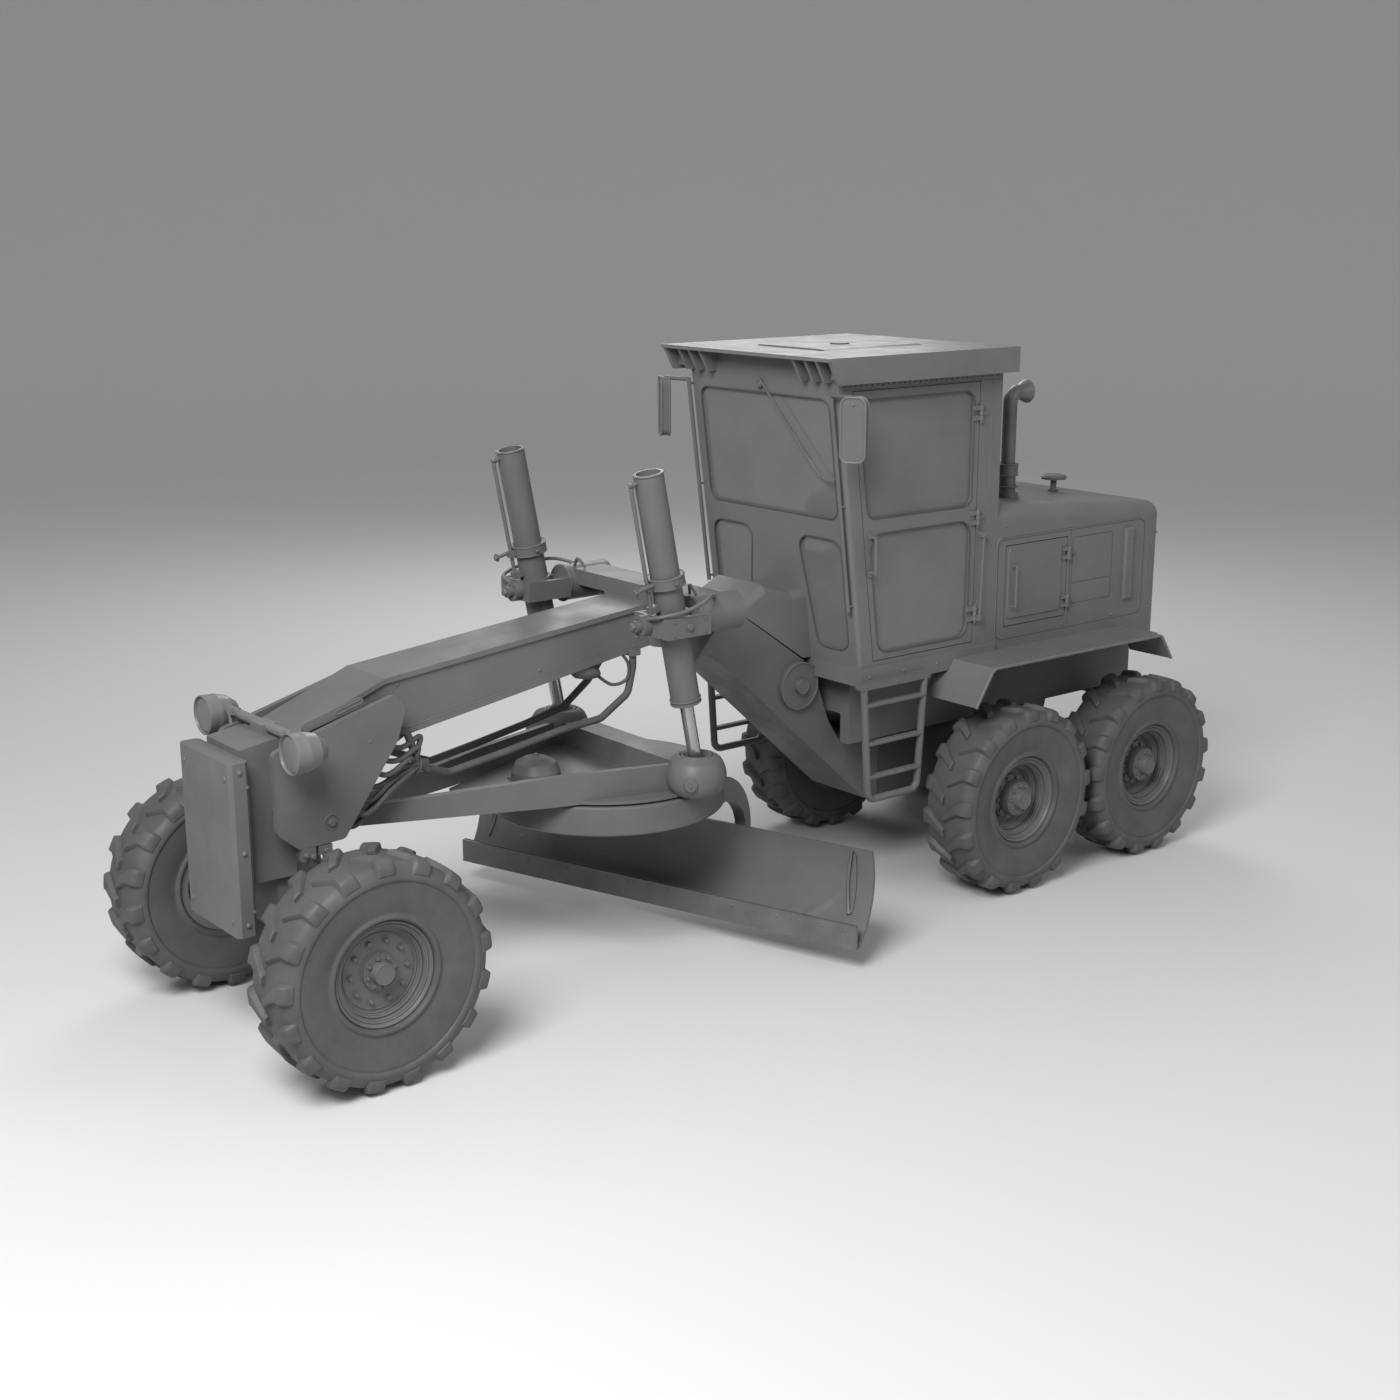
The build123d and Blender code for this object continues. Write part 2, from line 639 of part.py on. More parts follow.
def front_axle():
    """The axle beam under the front head with an upright eye and kingpin at each end."""
    pin_reach = AXLE_EYE_HEIGHT / 2 + KNUCKLE_GAP + KNUCKLE_EAR + 5
    # across, height from the axle's line
    section = [
        (-KINGPIN_X, -AXLE_HALF_HEIGHT),
        (-AXLE_MIDDLE_HALF, -AXLE_MIDDLE_DROP),
        (AXLE_MIDDLE_HALF, -AXLE_MIDDLE_DROP),
        (KINGPIN_X, -AXLE_HALF_HEIGHT),
        (KINGPIN_X, AXLE_HALF_HEIGHT),
        (AXLE_MIDDLE_HALF, AXLE_MIDDLE_RISE),
        (-AXLE_MIDDLE_HALF, AXLE_MIDDLE_RISE),
        (-KINGPIN_X, AXLE_HALF_HEIGHT),
    ]
    beam = along_y(placed(section, 0, AXLE_Z), FRONT_Y - AXLE_HALF_LENGTH, FRONT_Y + AXLE_HALF_LENGTH)
    eye = upright(KINGPIN_X, FRONT_Y, AXLE_Z, AXLE_EYE_RADIUS, AXLE_EYE_HEIGHT)
    pin = upright(KINGPIN_X, FRONT_Y, AXLE_Z, KINGPIN_RADIUS, 2 * pin_reach)
    return beam + both_sides(eye + pin)


def knuckle():
    """The left knuckle: two ears on the kingpin, a back plate, the wheel spindle and a steering arm."""
    ear_z = AXLE_EYE_HEIGHT / 2 + KNUCKLE_GAP
    reach_z = ear_z + KNUCKLE_EAR
    back = KINGPIN_X + AXLE_EYE_RADIUS + KNUCKLE_GAP + 4
    half = KNUCKLE_HALF_LENGTH
    # across, along Y
    ear_plan = [
        (KINGPIN_X - 50, FRONT_Y - half + 10),
        (back, FRONT_Y - half),
        (back, FRONT_Y + half),
        (KINGPIN_X - 50, FRONT_Y + half - 10),
    ]
    ear = along_z(ear_plan, AXLE_Z + ear_z, AXLE_Z + reach_z, 12)
    shape = ear + mirror(ear, about=Plane.XY.offset(AXLE_Z))
    face = back + KNUCKLE_PLATE
    shape += block(back, face, FRONT_Y - half, FRONT_Y + half, AXLE_Z - reach_z, AXLE_Z + reach_z)
    shape -= upright(KINGPIN_X, FRONT_Y, AXLE_Z, KINGPIN_RADIUS + SHAFT_FIT, 4 * reach_z)
    spindle_end = FRONT_WHEEL_X + FRONT_BORE_END - SPINDLE_END_GAP
    shape += bar((back + 20, FRONT_Y, AXLE_Z), (spindle_end, FRONT_Y, AXLE_Z), SPINDLE_RADIUS)
    arm_z = AXLE_Z - reach_z
    arm_end = FRONT_Y + STEER_ARM_LENGTH + 28
    arm_plan = [
        (KINGPIN_X - 45, FRONT_Y + 40),
        (KINGPIN_X + 45, FRONT_Y + 40),
        (KINGPIN_X + 20, arm_end),
        (KINGPIN_X - 28, arm_end),
    ]
    shape += along_z(arm_plan, arm_z, arm_z + STEER_ARM_THICKNESS)
    pin_y = FRONT_Y + STEER_ARM_LENGTH
    pin_z = arm_z - TIE_ROD_DROP
    return shape + upright(KINGPIN_X, pin_y, pin_z, STEER_PIN_RADIUS, 2 * TIE_ROD_DROP + 2)


def tie_rod():
    """The rod between the two steering arms, with an eye on each pin."""
    y = FRONT_Y + STEER_ARM_LENGTH
    z = AXLE_Z - AXLE_EYE_HEIGHT / 2 - KNUCKLE_GAP - KNUCKLE_EAR - TIE_ROD_DROP
    inside = KINGPIN_X - TIE_EYE_RADIUS + 8
    rod = bar((-inside, y, z), (inside, y, z), TIE_ROD_RADIUS)
    rod += both_sides(upright(KINGPIN_X, y, z, TIE_EYE_RADIUS, TIE_EYE_HEIGHT))
    return rod - both_sides(upright(KINGPIN_X, y, z, STEER_PIN_RADIUS + SHAFT_FIT, 2 * TIE_EYE_HEIGHT))


# Front frame


def front_head():
    """The nose of the frame: the core, two big side plates, the hitch socket and the axle hanger."""
    core = along_x([
        (HEAD_FRONT, HEAD_BOTTOM),
        (HEAD_FRONT, BEAM_NOSE_TOP - 38),
        (FRONT_Y - 150, LAMP_PAD_Z),
        (HEAD_BACK, LAMP_PAD_Z),
        (BEAM_FRONT, BEAM_NOSE_TOP),
        (BEAM_FRONT, BEAM_NOSE_BOTTOM),
        (NOSE_STEP_Y, BEAM_NOSE_BOTTOM),
        (NOSE_STEP_Y, SOCKET_TOP),
        (HEAD_BACK, SOCKET_TOP),
        (HEAD_BACK, HEAD_BOTTOM),
    ], -HEAD_HALF_WIDTH, HEAD_HALF_WIDTH)
    outer = SIDE_PLATE_X + SIDE_PLATE_THICKNESS
    plate = along_x(placed(SIDE_PLATE, FRONT_Y, BEAM_NOSE_TOP), SIDE_PLATE_X, outer, SIDE_PLATE_CORNER)
    join = SIDE_PLATE_X + 5
    x, y, z = HOSE_END
    low = BEAM_NOSE_BOTTOM
    plate += block(HEAD_HALF_WIDTH - 5, join, FRONT_Y - 170, FRONT_Y - 60, low - 50, BEAM_NOSE_TOP - 88)
    plate += block(HEAD_HALF_WIDTH + 5, join, FRONT_Y + 60, FRONT_Y + 200, low + 10, low + 70)
    pin_line = (FRONT_Y + 300, BEAM_NOSE_TOP - 68)
    plate += bar((BEAM_HALF_WIDTH, *pin_line), (join, *pin_line), 40)
    plate += block(BEAM_HALF_WIDTH, SIDE_PLATE_X + SKIN, y - 2 * HOSE_LUG, y, z - HOSE_LUG, z + HOSE_LUG)
    half = SOCKET_HALF_WIDTH
    socket = block(-half, half, FRONT_Y - 60, HITCH_Y + 15, HITCH_Z - 105, SOCKET_TOP)
    hanger = along_x([
        (FRONT_Y - 150, HEAD_BOTTOM + 5),
        (FRONT_Y + 120, HEAD_BOTTOM + 5),
        (FRONT_Y + 90, AXLE_Z + AXLE_MIDDLE_RISE),
        (FRONT_Y - 110, AXLE_Z + AXLE_MIDDLE_RISE),
    ], -half - 25, half + 25)
    shape = core + both_sides(plate) + socket + hanger
    shape += block(-half, half, FRONT_Y - 150, FRONT_Y - 30, HEAD_BOTTOM - 10, HITCH_Z - 80)
    return shape - Pos(0, HITCH_Y, HITCH_Z) * Sphere(HITCH_BALL_RADIUS + HITCH_PLAY)


def push_block():
    """The heavy flat plate box on the nose, with four corner holes in its face."""
    face_y = HEAD_FRONT - PUSH_DEPTH
    box = block(-PUSH_HALF_WIDTH, PUSH_HALF_WIDTH, face_y, HEAD_FRONT, PUSH_BOTTOM, PUSH_TOP)
    box = chamfer(box.edges().filter_by(Axis.Z), PUSH_CHAMFER)
    for z in PUSH_HOLE_HEIGHTS:
        mouth = (PUSH_HOLE_X, face_y - SKIN, z)
        box -= both_sides(bar(mouth, (PUSH_HOLE_X, face_y + PUSH_DEPTH / 2 + 2, z), PUSH_HOLE_RADIUS))
    return box


def head_lamps():
    """A cross bar on the nose with a round bowl lamp at each end."""
    lamp = Pos(LAMP_X, LAMP_Y, LAMP_Z) * Rot(-90, 0, 0) * turned_upright(LAMP_SECTION)
    end = LAMP_X - 76
    y = FRONT_Y - 90
    cross = bar((-end, y, LAMP_BAR_Z), (end, y, LAMP_BAR_Z), LAMP_BAR_RADIUS)
    saddle = block(-70, 70, y - 45, y + 45, LAMP_PAD_Z, LAMP_PAD_Z + 50)
    return both_sides(lamp) + cross + saddle


def front_beam():
    """The box beam from the nose to the gooseneck, with a wider flange along its top and bottom."""
    top = [(BEAM_FRONT, BEAM_NOSE_TOP), TOP_BEND, (BEAM_REAR, BEAM_REAR_TOP)]
    bottom = [(BEAM_REAR, BEAM_REAR_BOTTOM), BELLY_BEND, (NOSE_STEP_Y, BEAM_NOSE_BOTTOM)]
    beam = along_x(top + bottom + [(BEAM_FRONT, BEAM_NOSE_BOTTOM)], -BEAM_HALF_WIDTH, BEAM_HALF_WIDTH)
    flange = BEAM_HALF_WIDTH + FLANGE_LEDGE
    beam += along_x(top + placed(top[::-1], 0, -FLANGE_THICKNESS), -flange, flange)
    beam += along_x(bottom + placed(bottom[::-1], 0, FLANGE_THICKNESS), -flange, flange)
    half = HOSE_BOSS_HALF
    for x, y in HOSE_TOPS:
        low = beam_underside(y) - HOSE_BOSS
        beam += block(x - half, x + half, y - half, y + half, low, low + HOSE_BOSS + 16)
    return beam


def beam_underside(y):
    """Height of the beam's underside at a Y behind its lower bend."""
    bend_y, bend_z = BELLY_BEND
    return bend_z + (y - bend_y) * (BEAM_REAR_BOTTOM - bend_z) / (BEAM_REAR - bend_y)


def gooseneck():
    """The bent box that drops from the beam to the low rear frame, with a shallow keel and a round boss."""
    half = GOOSENECK_HALF_WIDTH
    foot = GOOSENECK_FOOT + 30
    keel_start = (MID_Y - 2009, BEAM_REAR_BOTTOM - 95)
    keel_end = (MID_Y - 690, foot)
    shape = along_x([
        (BEAM_REAR, BEAM_REAR_TOP),
        (MID_Y - 2150, BEAM_REAR_TOP),
        (MID_Y - 1795, BEAM_REAR_TOP - 130),
        (MID_Y - 1242, CAB_FLOOR_TOP - 10),
        (MID_Y - 1136, CAB_FLOOR_BOTTOM - 8),
        (MID_Y - 1016, RAIL_TOP - 272),
        (MID_Y - 900, RAIL_BOTTOM - 50),
        (MID_Y - 560, RAIL_BOTTOM - 50),
        (MID_Y - 560, GOOSENECK_FOOT),
        keel_end,
        keel_start,
        (BEAM_REAR, BEAM_REAR_BOTTOM),
    ], -half, half)
    start = Vector(0, *keel_start)
    end = Vector(0, *keel_end)
    plane = Plane(origin=start, x_dir=(1, 0, 0), z_dir=end - start)
    keel = make_face(Polyline((-half + 10, 0), (0, -KEEL_DEPTH), (half - 10, 0), close=True))
    shape += extrude(plane * keel, (end - start).length)
    y = MID_Y - 1290
    z = RAIL_TOP + 5
    boss = bar((half - SKIN, y, z), (half + 28, y, z), BOSS_RADIUS)
    boss += bar((half, y, z), (half + 60, y, z), BOSS_HUB_RADIUS)
    return shape + both_sides(boss)


def rear_frame():
    """Two long rails with cross members, axle hangers and an end plate with a tow clevis."""
    front = MID_Y - 1000
    rear = HOOD_REAR - 12
    rail = block(RAIL_INNER, RAIL_OUTER, front, rear, RAIL_BOTTOM, RAIL_TOP)
    hanger = along_x([
        (TANDEM_Y - 260, RAIL_BOTTOM + SKIN),
        (TANDEM_Y + 260, RAIL_BOTTOM + SKIN),
        (TANDEM_Y + 150, AXLE_Z - 20),
        (TANDEM_Y - 150, AXLE_Z - 20),
    ], RAIL_INNER, RAIL_OUTER)
    tube_hole = REAR_TUBE_RADIUS + SEAT_GAP
    hanger -= bar((RAIL_INNER - 10, TANDEM_Y, AXLE_Z), (RAIL_OUTER + 10, TANDEM_Y, AXLE_Z), tube_hole)
    shape = both_sides(rail + hanger)
    inside = RAIL_INNER + SKIN
    for y in (MID_Y - 560, HOOD_FRONT + 208, HOOD_REAR - 372):
        shape += block(-inside, inside, y, y + CROSS_LENGTH, RAIL_BOTTOM, RAIL_BOTTOM + CROSS_HEIGHT)
    shape += block(-inside, inside, front, front + 80, RAIL_TOP - 210, RAIL_TOP)
    shelf = block(RAIL_INNER, HOOD_HALF_WIDTH, HOOD_FRONT, HOOD_REAR, HOOD_BOTTOM - 24, HOOD_BOTTOM)
    shape += both_sides(shelf)
    shape += block(-RAIL_OUTER, RAIL_OUTER, rear - SKIN, rear + 40, RAIL_BOTTOM - 150, RAIL_TOP)
    ear_z = RAIL_BOTTOM - 120
    ear = block(-70, 70, rear + 39, rear + 130, ear_z, ear_z + TOW_EAR_THICKNESS)
    ear += Pos(0, 0, TOW_EAR_PITCH) * ear
    pin_z = ear_z + 60
    return shape + ear - upright(0, rear + 85, pin_z, TOW_PIN_RADIUS, 200)


def rear_drive():
    """The low gear case behind the gooseneck, the neck to the rear axle, its gear bulge and cross tube."""
    half = RAIL_INNER - 110
    back = MID_Y + 360
    case = along_x([
        (MID_Y - 560, GOOSENECK_FOOT),
        (MID_Y - 560, RAIL_BOTTOM),
        (back, RAIL_BOTTOM),
        (back, AXLE_Z + 10),
        (back - 130, GOOSENECK_FOOT - 20),
    ], -half, half)
    tube = bar((-TANDEM_INNER, TANDEM_Y, AXLE_Z), (TANDEM_INNER, TANDEM_Y, AXLE_Z), REAR_TUBE_RADIUS)
    bulge = Pos(0, TANDEM_Y, AXLE_Z) * Sphere(REAR_TUBE_RADIUS + 100)
    neck = bar((0, back - SKIN, AXLE_Z + 40), (0, TANDEM_Y, AXLE_Z + 40), 95)
    return case + tube + bulge + neck


def tandem_cases():
    """The long case that carries a middle and a rear wheel on each side, with its stub shafts."""
    plane = Plane(origin=(TANDEM_INNER, TANDEM_Y, AXLE_Z), x_dir=(0, 1, 0), z_dir=(1, 0, 0))
    case = extrude(plane * SlotCenterToCenter(MID_TO_REAR, 2 * TANDEM_RADIUS), TANDEM_OUTER - TANDEM_INNER)
    case = chamfer(case.faces().sort_by(Axis.X)[-1].edges(), TANDEM_EDGE)
    for y in (MID_Y, REAR_Y):
        case += bar((TANDEM_OUTER - 20, y, AXLE_Z), (REAR_WHEEL_X + STUB_REACH, y, AXLE_Z), STUB_RADIUS)
    return both_sides(case)


# Lift gear


def lift_carrier():
    """The cross box on the beam with a tube and an open yoke at each end for the lift cylinders."""
    reach = COLLAR_RADIUS + YOKE_GAP
    outside = reach + YOKE_PLATE
    x = LIFT_X
    y = TRUNNION_Y
    low = TRUNNION_Z - YOKE_HALF_HEIGHT
    high = TRUNNION_Z + YOKE_HALF_HEIGHT
    front = TRUNNION_Y - outside
    rear = TRUNNION_Y + outside
    low_x = LIFT_X - outside
    high_x = LIFT_X + outside
    yoke = block(low_x, high_x, front, rear, low, high)
    yoke -= block(x - reach, x + reach, y - reach, y + reach, low - SKIN, high + SKIN)
    pin_line = (TRUNNION_Y, TRUNNION_Z)
    yoke -= bar((low_x - SKIN, *pin_line), (high_x + SKIN, *pin_line), TRUNNION_RADIUS + SHAFT_FIT)
    tube_x = LIFT_X - ARM_TUBE_INSET
    tube_end = TRUNNION_Y + 494
    tube = bar((tube_x, rear - SKIN, BEAM_REAR_TOP), (tube_x, tube_end, BEAM_REAR_TOP), ARM_TUBE_RADIUS)
    hub = bar((tube_x, front + SKIN, TRUNNION_Z), (tube_x, front - 55, TRUNNION_Z), 62)
    hub += bar((tube_x, front - 50, TRUNNION_Z), (tube_x, front - 90, TRUNNION_Z), 34)
    arm = block(0, tube_x - 40, TRUNNION_Y + 214, tube_end - 40, BEAM_REAR_TOP, BEAM_REAR_TOP + ARM_HEIGHT)
    gusset = along_y([
        (GOOSENECK_HALF_WIDTH, BEAM_REAR_TOP - 440),
        (GOOSENECK_HALF_WIDTH + 50, BEAM_REAR_TOP - 425),
        (tube_x - 105, BEAM_REAR_TOP - 140),
        (tube_x - 50, BEAM_REAR_TOP - 70),
        (tube_x - 50, BEAM_REAR_TOP),
        (GOOSENECK_HALF_WIDTH, BEAM_REAR_TOP),
    ], tube_end - 60, tube_end - 35)
    return both_sides(yoke + tube + hub + arm + gusset)


def barrel_local():
    """A lift cylinder's barrel standing on the trunnion's centre, open at its top."""
    length = BARREL_BELOW + BARREL_ABOVE
    tube = Pos(0, 0, -BARREL_BELOW) * extrude(Circle(BARREL_RADIUS), length)
    tube -= Pos(0, 0, -BARREL_BELOW + BARREL_GLAND) * extrude(Circle(BARREL_BORE), length)
    tube -= Pos(0, 0, -BARREL_BELOW - SKIN) * extrude(Circle(ROD_RADIUS + SHAFT_FIT), BARREL_GLAND + 2 * SKIN)
    inside = Circle(BARREL_RADIUS - SKIN)
    tube += Pos(0, 0, -COLLAR_HEIGHT / 2) * extrude(Circle(COLLAR_RADIUS) - inside, COLLAR_HEIGHT)
    tube += Pos(0, 0, CLAMP_FOOT) * extrude(Circle(COLLAR_RADIUS + 8) - inside, CLAMP_HEIGHT)
    reach = COLLAR_RADIUS + YOKE_GAP + YOKE_PLATE
    pin = bar((COLLAR_RADIUS - 8, 0, 0), (reach, 0, 0), TRUNNION_RADIUS)
    pipe_y = -BARREL_RADIUS - PIPE_REACH
    start = (0, -BARREL_RADIUS + 4, PIPE_TOP)
    corner = (0, pipe_y, PIPE_TOP)
    path = FilletPolyline(start, corner, (0, pipe_y, PIPE_FOOT), radius=34)
    side_pipe = pipe(path, start, corner, PIPE_RADIUS)
    saddle = block(-22, 22, pipe_y - 18, -BARREL_RADIUS, CLAMP_FOOT + 10, CLAMP_FOOT + 50)
    foot = block(-22, 22, pipe_y - 18, -BARREL_RADIUS + 4, PIPE_FOOT - 20, PIPE_FOOT + 20)
    return tube + both_sides(pin) + side_pipe + saddle + foot


def rod_local():
    """A lift cylinder's rod: piston, long bar and the ball at its foot."""
    rod = Pos(0, 0, -ROD_REACH) * extrude(Circle(ROD_RADIUS), ROD_REACH - PISTON_TOP)
    piston = Pos(0, 0, -PISTON_TOP - PISTON_HEIGHT) * extrude(Circle(BARREL_BORE - SHAFT_FIT), PISTON_HEIGHT)
    return rod + piston + Pos(0, 0, -ROD_REACH) * Sphere(ROD_BALL_RADIUS)


def lift_cylinders():
    """Both lift cylinders, leaning from the carrier to the ball sockets of the drawbar."""
    for name, side in (("left", 1), ("right", -1)):
        place = Pos(side * LIFT_X, TRUNNION_Y, TRUNNION_Z) * Rot(PIVOT_LEAN, 0, 0)
        write(f"lift_barrel_{name}", place * barrel_local())
        write(f"lift_rod_{name}", place * rod_local())


# Drawbar, circle and blade


def ball_socket():
    """The round domed cup on the drawbar that holds a lift rod's ball."""
    mouth_z = BALL_Z + 20
    throat = ROD_RADIUS + ROD_BALL_PLAY
    cup = turned_upright(placed(CUP_SECTION, 0, DRAWBAR_BOTTOM))
    cup -= Pos(0, 0, BALL_Z) * Sphere(ROD_BALL_RADIUS + ROD_BALL_PLAY)
    cup -= Pos(0, 0, mouth_z) * extrude(Circle(throat), 40)
    cup -= Pos(0, 0, mouth_z + 30) * Cone(throat, ROD_RADIUS + 45, 90)
    return Pos(LIFT_X, BALL_Y, 0) * cup


def drawbar():
    """The A frame that pulls the circle: ball, tapering side plates, floor, rear box and two ball cups."""
    low = DRAWBAR_BOTTOM
    high = DRAWBAR_BOTTOM + DRAWBAR_HEIGHT
    front = HITCH_Y + 210
    rear = BALL_Y + 90
    bend = rear - 900
    side_x = LIFT_X - 45
    plan = [(0, front), (75, front), (side_x, BALL_Y - 60), (side_x, rear), (0, rear)]
    inner = [(0, front + 60), (34, front + 60), (side_x - DRAWBAR_SIDE, BALL_Y - 90), (0, BALL_Y - 90)]
    shape = both_sides(along_z(plan, low, high) - along_z(inner, low - SKIN, high + SKIN))
    lower = [(front, HITCH_Z - 50), (bend, low), (rear, low)]
    upper = [(rear, high), (bend, high), (front, HITCH_Z + 50)]
    shape &= along_x(lower + upper, -LIFT_X, LIFT_X)
    floor_front = CIRCLE_Y - 1000
    floor_plan = [(0, floor_front), (200, floor_front), (side_x - 30, BALL_Y - 80), (0, BALL_Y - 80)]
    shape += both_sides(along_z(floor_plan, low + 14, low + 34))
    shape += Pos(0, CIRCLE_Y, low) * extrude(Circle(CIRCLE_RADIUS - 22), 18)
    shape += bar((0, HITCH_Y, HITCH_Z), (0, front + 110, HITCH_Z), 44)
    shape += Pos(0, HITCH_Y, HITCH_Z) * Sphere(HITCH_BALL_RADIUS)
    shape += Pos(0, CIRCLE_Y - 520, low + 33) * turned_upright(DOME_SECTION)
    cup_hole = Pos(LIFT_X, BALL_Y, low - SKIN) * extrude(Circle(CUP_SECTION[1][0]), DRAWBAR_HEIGHT + 2 * SKIN)
    shape -= both_sides(cup_hole)
    pad_z = CIRCLE_TOP + PAD_GAP
    pad = Circle(CIRCLE_RADIUS - 50) - Circle(CIRCLE_INNER + 20)
    shape += Pos(0, CIRCLE_Y, pad_z) * extrude(pad, low + SKIN - pad_z)
    return shape + both_sides(ball_socket())


def circle_arm():
    """The left curved arm under the circle, with a jaw round each of the blade's rails."""
    back = RAIL_FRONT + RAIL_SIZE + 5
    upper = CIRCLE_TOP - 6
    under = CIRCLE_LOW + 6
    foot = RAIL_HEIGHTS[0] - 55
    bend_top = CIRCLE_TOP - 422
    face = make_face([
        Line((back - 335, under), (back - 335, upper)),
        Line((back - 335, upper), (back - 240, upper)),
        ThreePointArc((back - 240, upper), (back - 12, CIRCLE_TOP - 157), (back + 60, bend_top)),
        Line((back + 60, bend_top), (back + 50, foot)),
        Line((back + 50, foot), (back, foot)),
        Line((back, foot), (back, bend_top + 60)),
        ThreePointArc((back, bend_top + 60), (back - 80, CIRCLE_TOP - 230), (back - 230, under)),
        Line((back - 230, under), (back - 335, under)),
    ])
    inside = ARM_X - ARM_THICKNESS / 2
    outside = ARM_X + ARM_THICKNESS / 2
    plane = Plane(origin=(inside, 0, 0), x_dir=(0, 1, 0), z_dir=(1, 0, 0))
    arm = extrude(plane * face, ARM_THICKNESS)
    half = RAIL_SIZE / 2
    gap = SKIN
    for z in RAIL_HEIGHTS:
        jaw = block(inside, outside, RAIL_FRONT - 22, back + 10, z - half - 26, z + half + 26)
        jaw -= block(inside - ARM_THICKNESS / 2, outside + ARM_THICKNESS / 2, RAIL_FRONT - gap,
                     RAIL_FRONT + RAIL_SIZE + gap, z - half - gap, z + half + gap)
        arm += jaw
    return arm


def circle_local():
    """The turning ring with teeth round its inside and two curved arms, in the circle's own frame."""
    ring = Pos(0, 0, CIRCLE_LOW) * extrude(Circle(CIRCLE_RADIUS) - Circle(CIRCLE_INNER), CIRCLE_HEIGHT)
    rims = ring.edges().filter_by(GeomType.CIRCLE).sort_by(SortBy.RADIUS)[-2:]
    ring = chamfer(rims, CIRCLE_EDGE)
    root = CIRCLE_INNER + 2
    tip = CIRCLE_INNER - TOOTH_DEPTH
    tooth = Polygon((root, -17), (root, 17), (tip, 8), (tip, -8), align=None)
    pitch = 360 / CIRCLE_TEETH
    place = Pos(0, 0, CIRCLE_LOW + 20)
    teeth = [place * Rot(0, 0, step * pitch) * extrude(tooth, TOOTH_HEIGHT) for step in range(CIRCLE_TEETH)]
    return ring.fuse(*teeth) + both_sides(circle_arm())


def blade_arcs(offset):
    """The hollow curve of the blade as three (y, z) points, moved back by an offset."""
    low = (BLADE_SET_BACK + offset, BLADE_FOOT)
    high = (BLADE_TOP_BACK + offset, BLADE_FOOT + BLADE_HEIGHT)
    middle = ((low[0] + high[0]) / 2 + BLADE_BELLY, (low[1] + high[1]) / 2)
    return low, middle, high


def between_arcs(near, far):
    """A face between the blade's curve at two offsets."""
    low, middle, high = blade_arcs(near)
    back_low, back_middle, back_high = blade_arcs(far)
    return make_face([
        ThreePointArc(low, middle, high),
        Line(high, back_high),
        ThreePointArc(back_high, back_middle, back_low),
        Line(back_low, low),
    ])


def blade_slice(face, middle_x, thickness):
    """A face of the blade's section given a thickness about an X place."""
    plane = Plane(origin=(middle_x - thickness / 2, 0, 0), x_dir=(0, 1, 0), z_dir=(1, 0, 0))
    return extrude(plane * face, thickness)


def blade_local():
    """The curved blade with its ribs and the two rails that it slides on."""
    half_length = BLADE_LENGTH / 2
    start = BLADE_SHIFT - half_length
    end = BLADE_SHIFT + half_length
    shape = blade_slice(between_arcs(0, BLADE_THICKNESS), BLADE_SHIFT, BLADE_LENGTH)
    low, middle, high = blade_arcs(BLADE_THICKNESS - 2)
    back = RAIL_FRONT + RAIL_SIZE - 6
    rib_face = make_face([
        ThreePointArc(low, middle, high),
        Line(high, (back, RAIL_HEIGHTS[1] + 20)),
        Line((back, RAIL_HEIGHTS[1] + 20), (back, RAIL_HEIGHTS[0] - 20)),
        Line((back, RAIL_HEIGHTS[0] - 20), low),
    ])
    weld = between_arcs(-12, 2)
    band = block(start, end, 0, 2 * RAIL_FRONT, BLADE_FOOT + EDGE_HEIGHT + 20, BLADE_FOOT + BLADE_HEIGHT - 40)
    for side in (-1, 1):
        shape += blade_slice(weld, BLADE_SHIFT + side * (half_length - FACE_RIB_INSET), 16) & band
    end_rib = half_length - END_RIB_INSET
    for x in (-end_rib, *BLADE_RIBS, end_rib):
        shape += blade_slice(rib_face, BLADE_SHIFT + x, RIB_THICKNESS)
    half = RAIL_SIZE / 2
    for z in RAIL_HEIGHTS:
        shape += block(start + RAIL_END_INSET, end - RAIL_END_INSET,
                       RAIL_FRONT, RAIL_FRONT + RAIL_SIZE, z - half, z + half)
    return shape


def cutting_edge_local():
    """The flat wearing plate along the foot of the blade."""
    back = BLADE_SET_BACK - SEAT_GAP
    half_length = BLADE_LENGTH / 2
    return block(BLADE_SHIFT - half_length, BLADE_SHIFT + half_length, back - EDGE_THICKNESS, back,
                 BLADE_FOOT, BLADE_FOOT + EDGE_HEIGHT)


def work_gear():
    """The drawbar, and the circle and blade turned to the working angle."""
    write("drawbar", drawbar())
    place = Pos(0, CIRCLE_Y, 0) * Rot(0, 0, CIRCLE_YAW)
    write("circle", place * circle_local())
    write("blade", place * blade_local())
    write("cutting_edge", place * cutting_edge_local())


# Cab


def cab_front_y(z, inset=0.0):
    """Y of the leaning front plane at a height, moved inwards by an inset."""
    share = (z - CAB_FLOOR_TOP) / (CAB_TOP - CAB_FLOOR_TOP)
    return CAB_FRONT_FOOT + share * (CAB_FRONT_HEAD - CAB_FRONT_FOOT) + inset


def front_slab(near, far, half_width):
    """A leaning slab of the cab's front between two insets."""
    return along_x([
        (cab_front_y(CAB_FLOOR_TOP, near), CAB_FLOOR_TOP),
        (cab_front_y(CAB_TOP, near), CAB_TOP),
        (cab_front_y(CAB_TOP, far), CAB_TOP),
        (cab_front_y(CAB_FLOOR_TOP, far), CAB_FLOOR_TOP),
    ], -half_width, half_width)


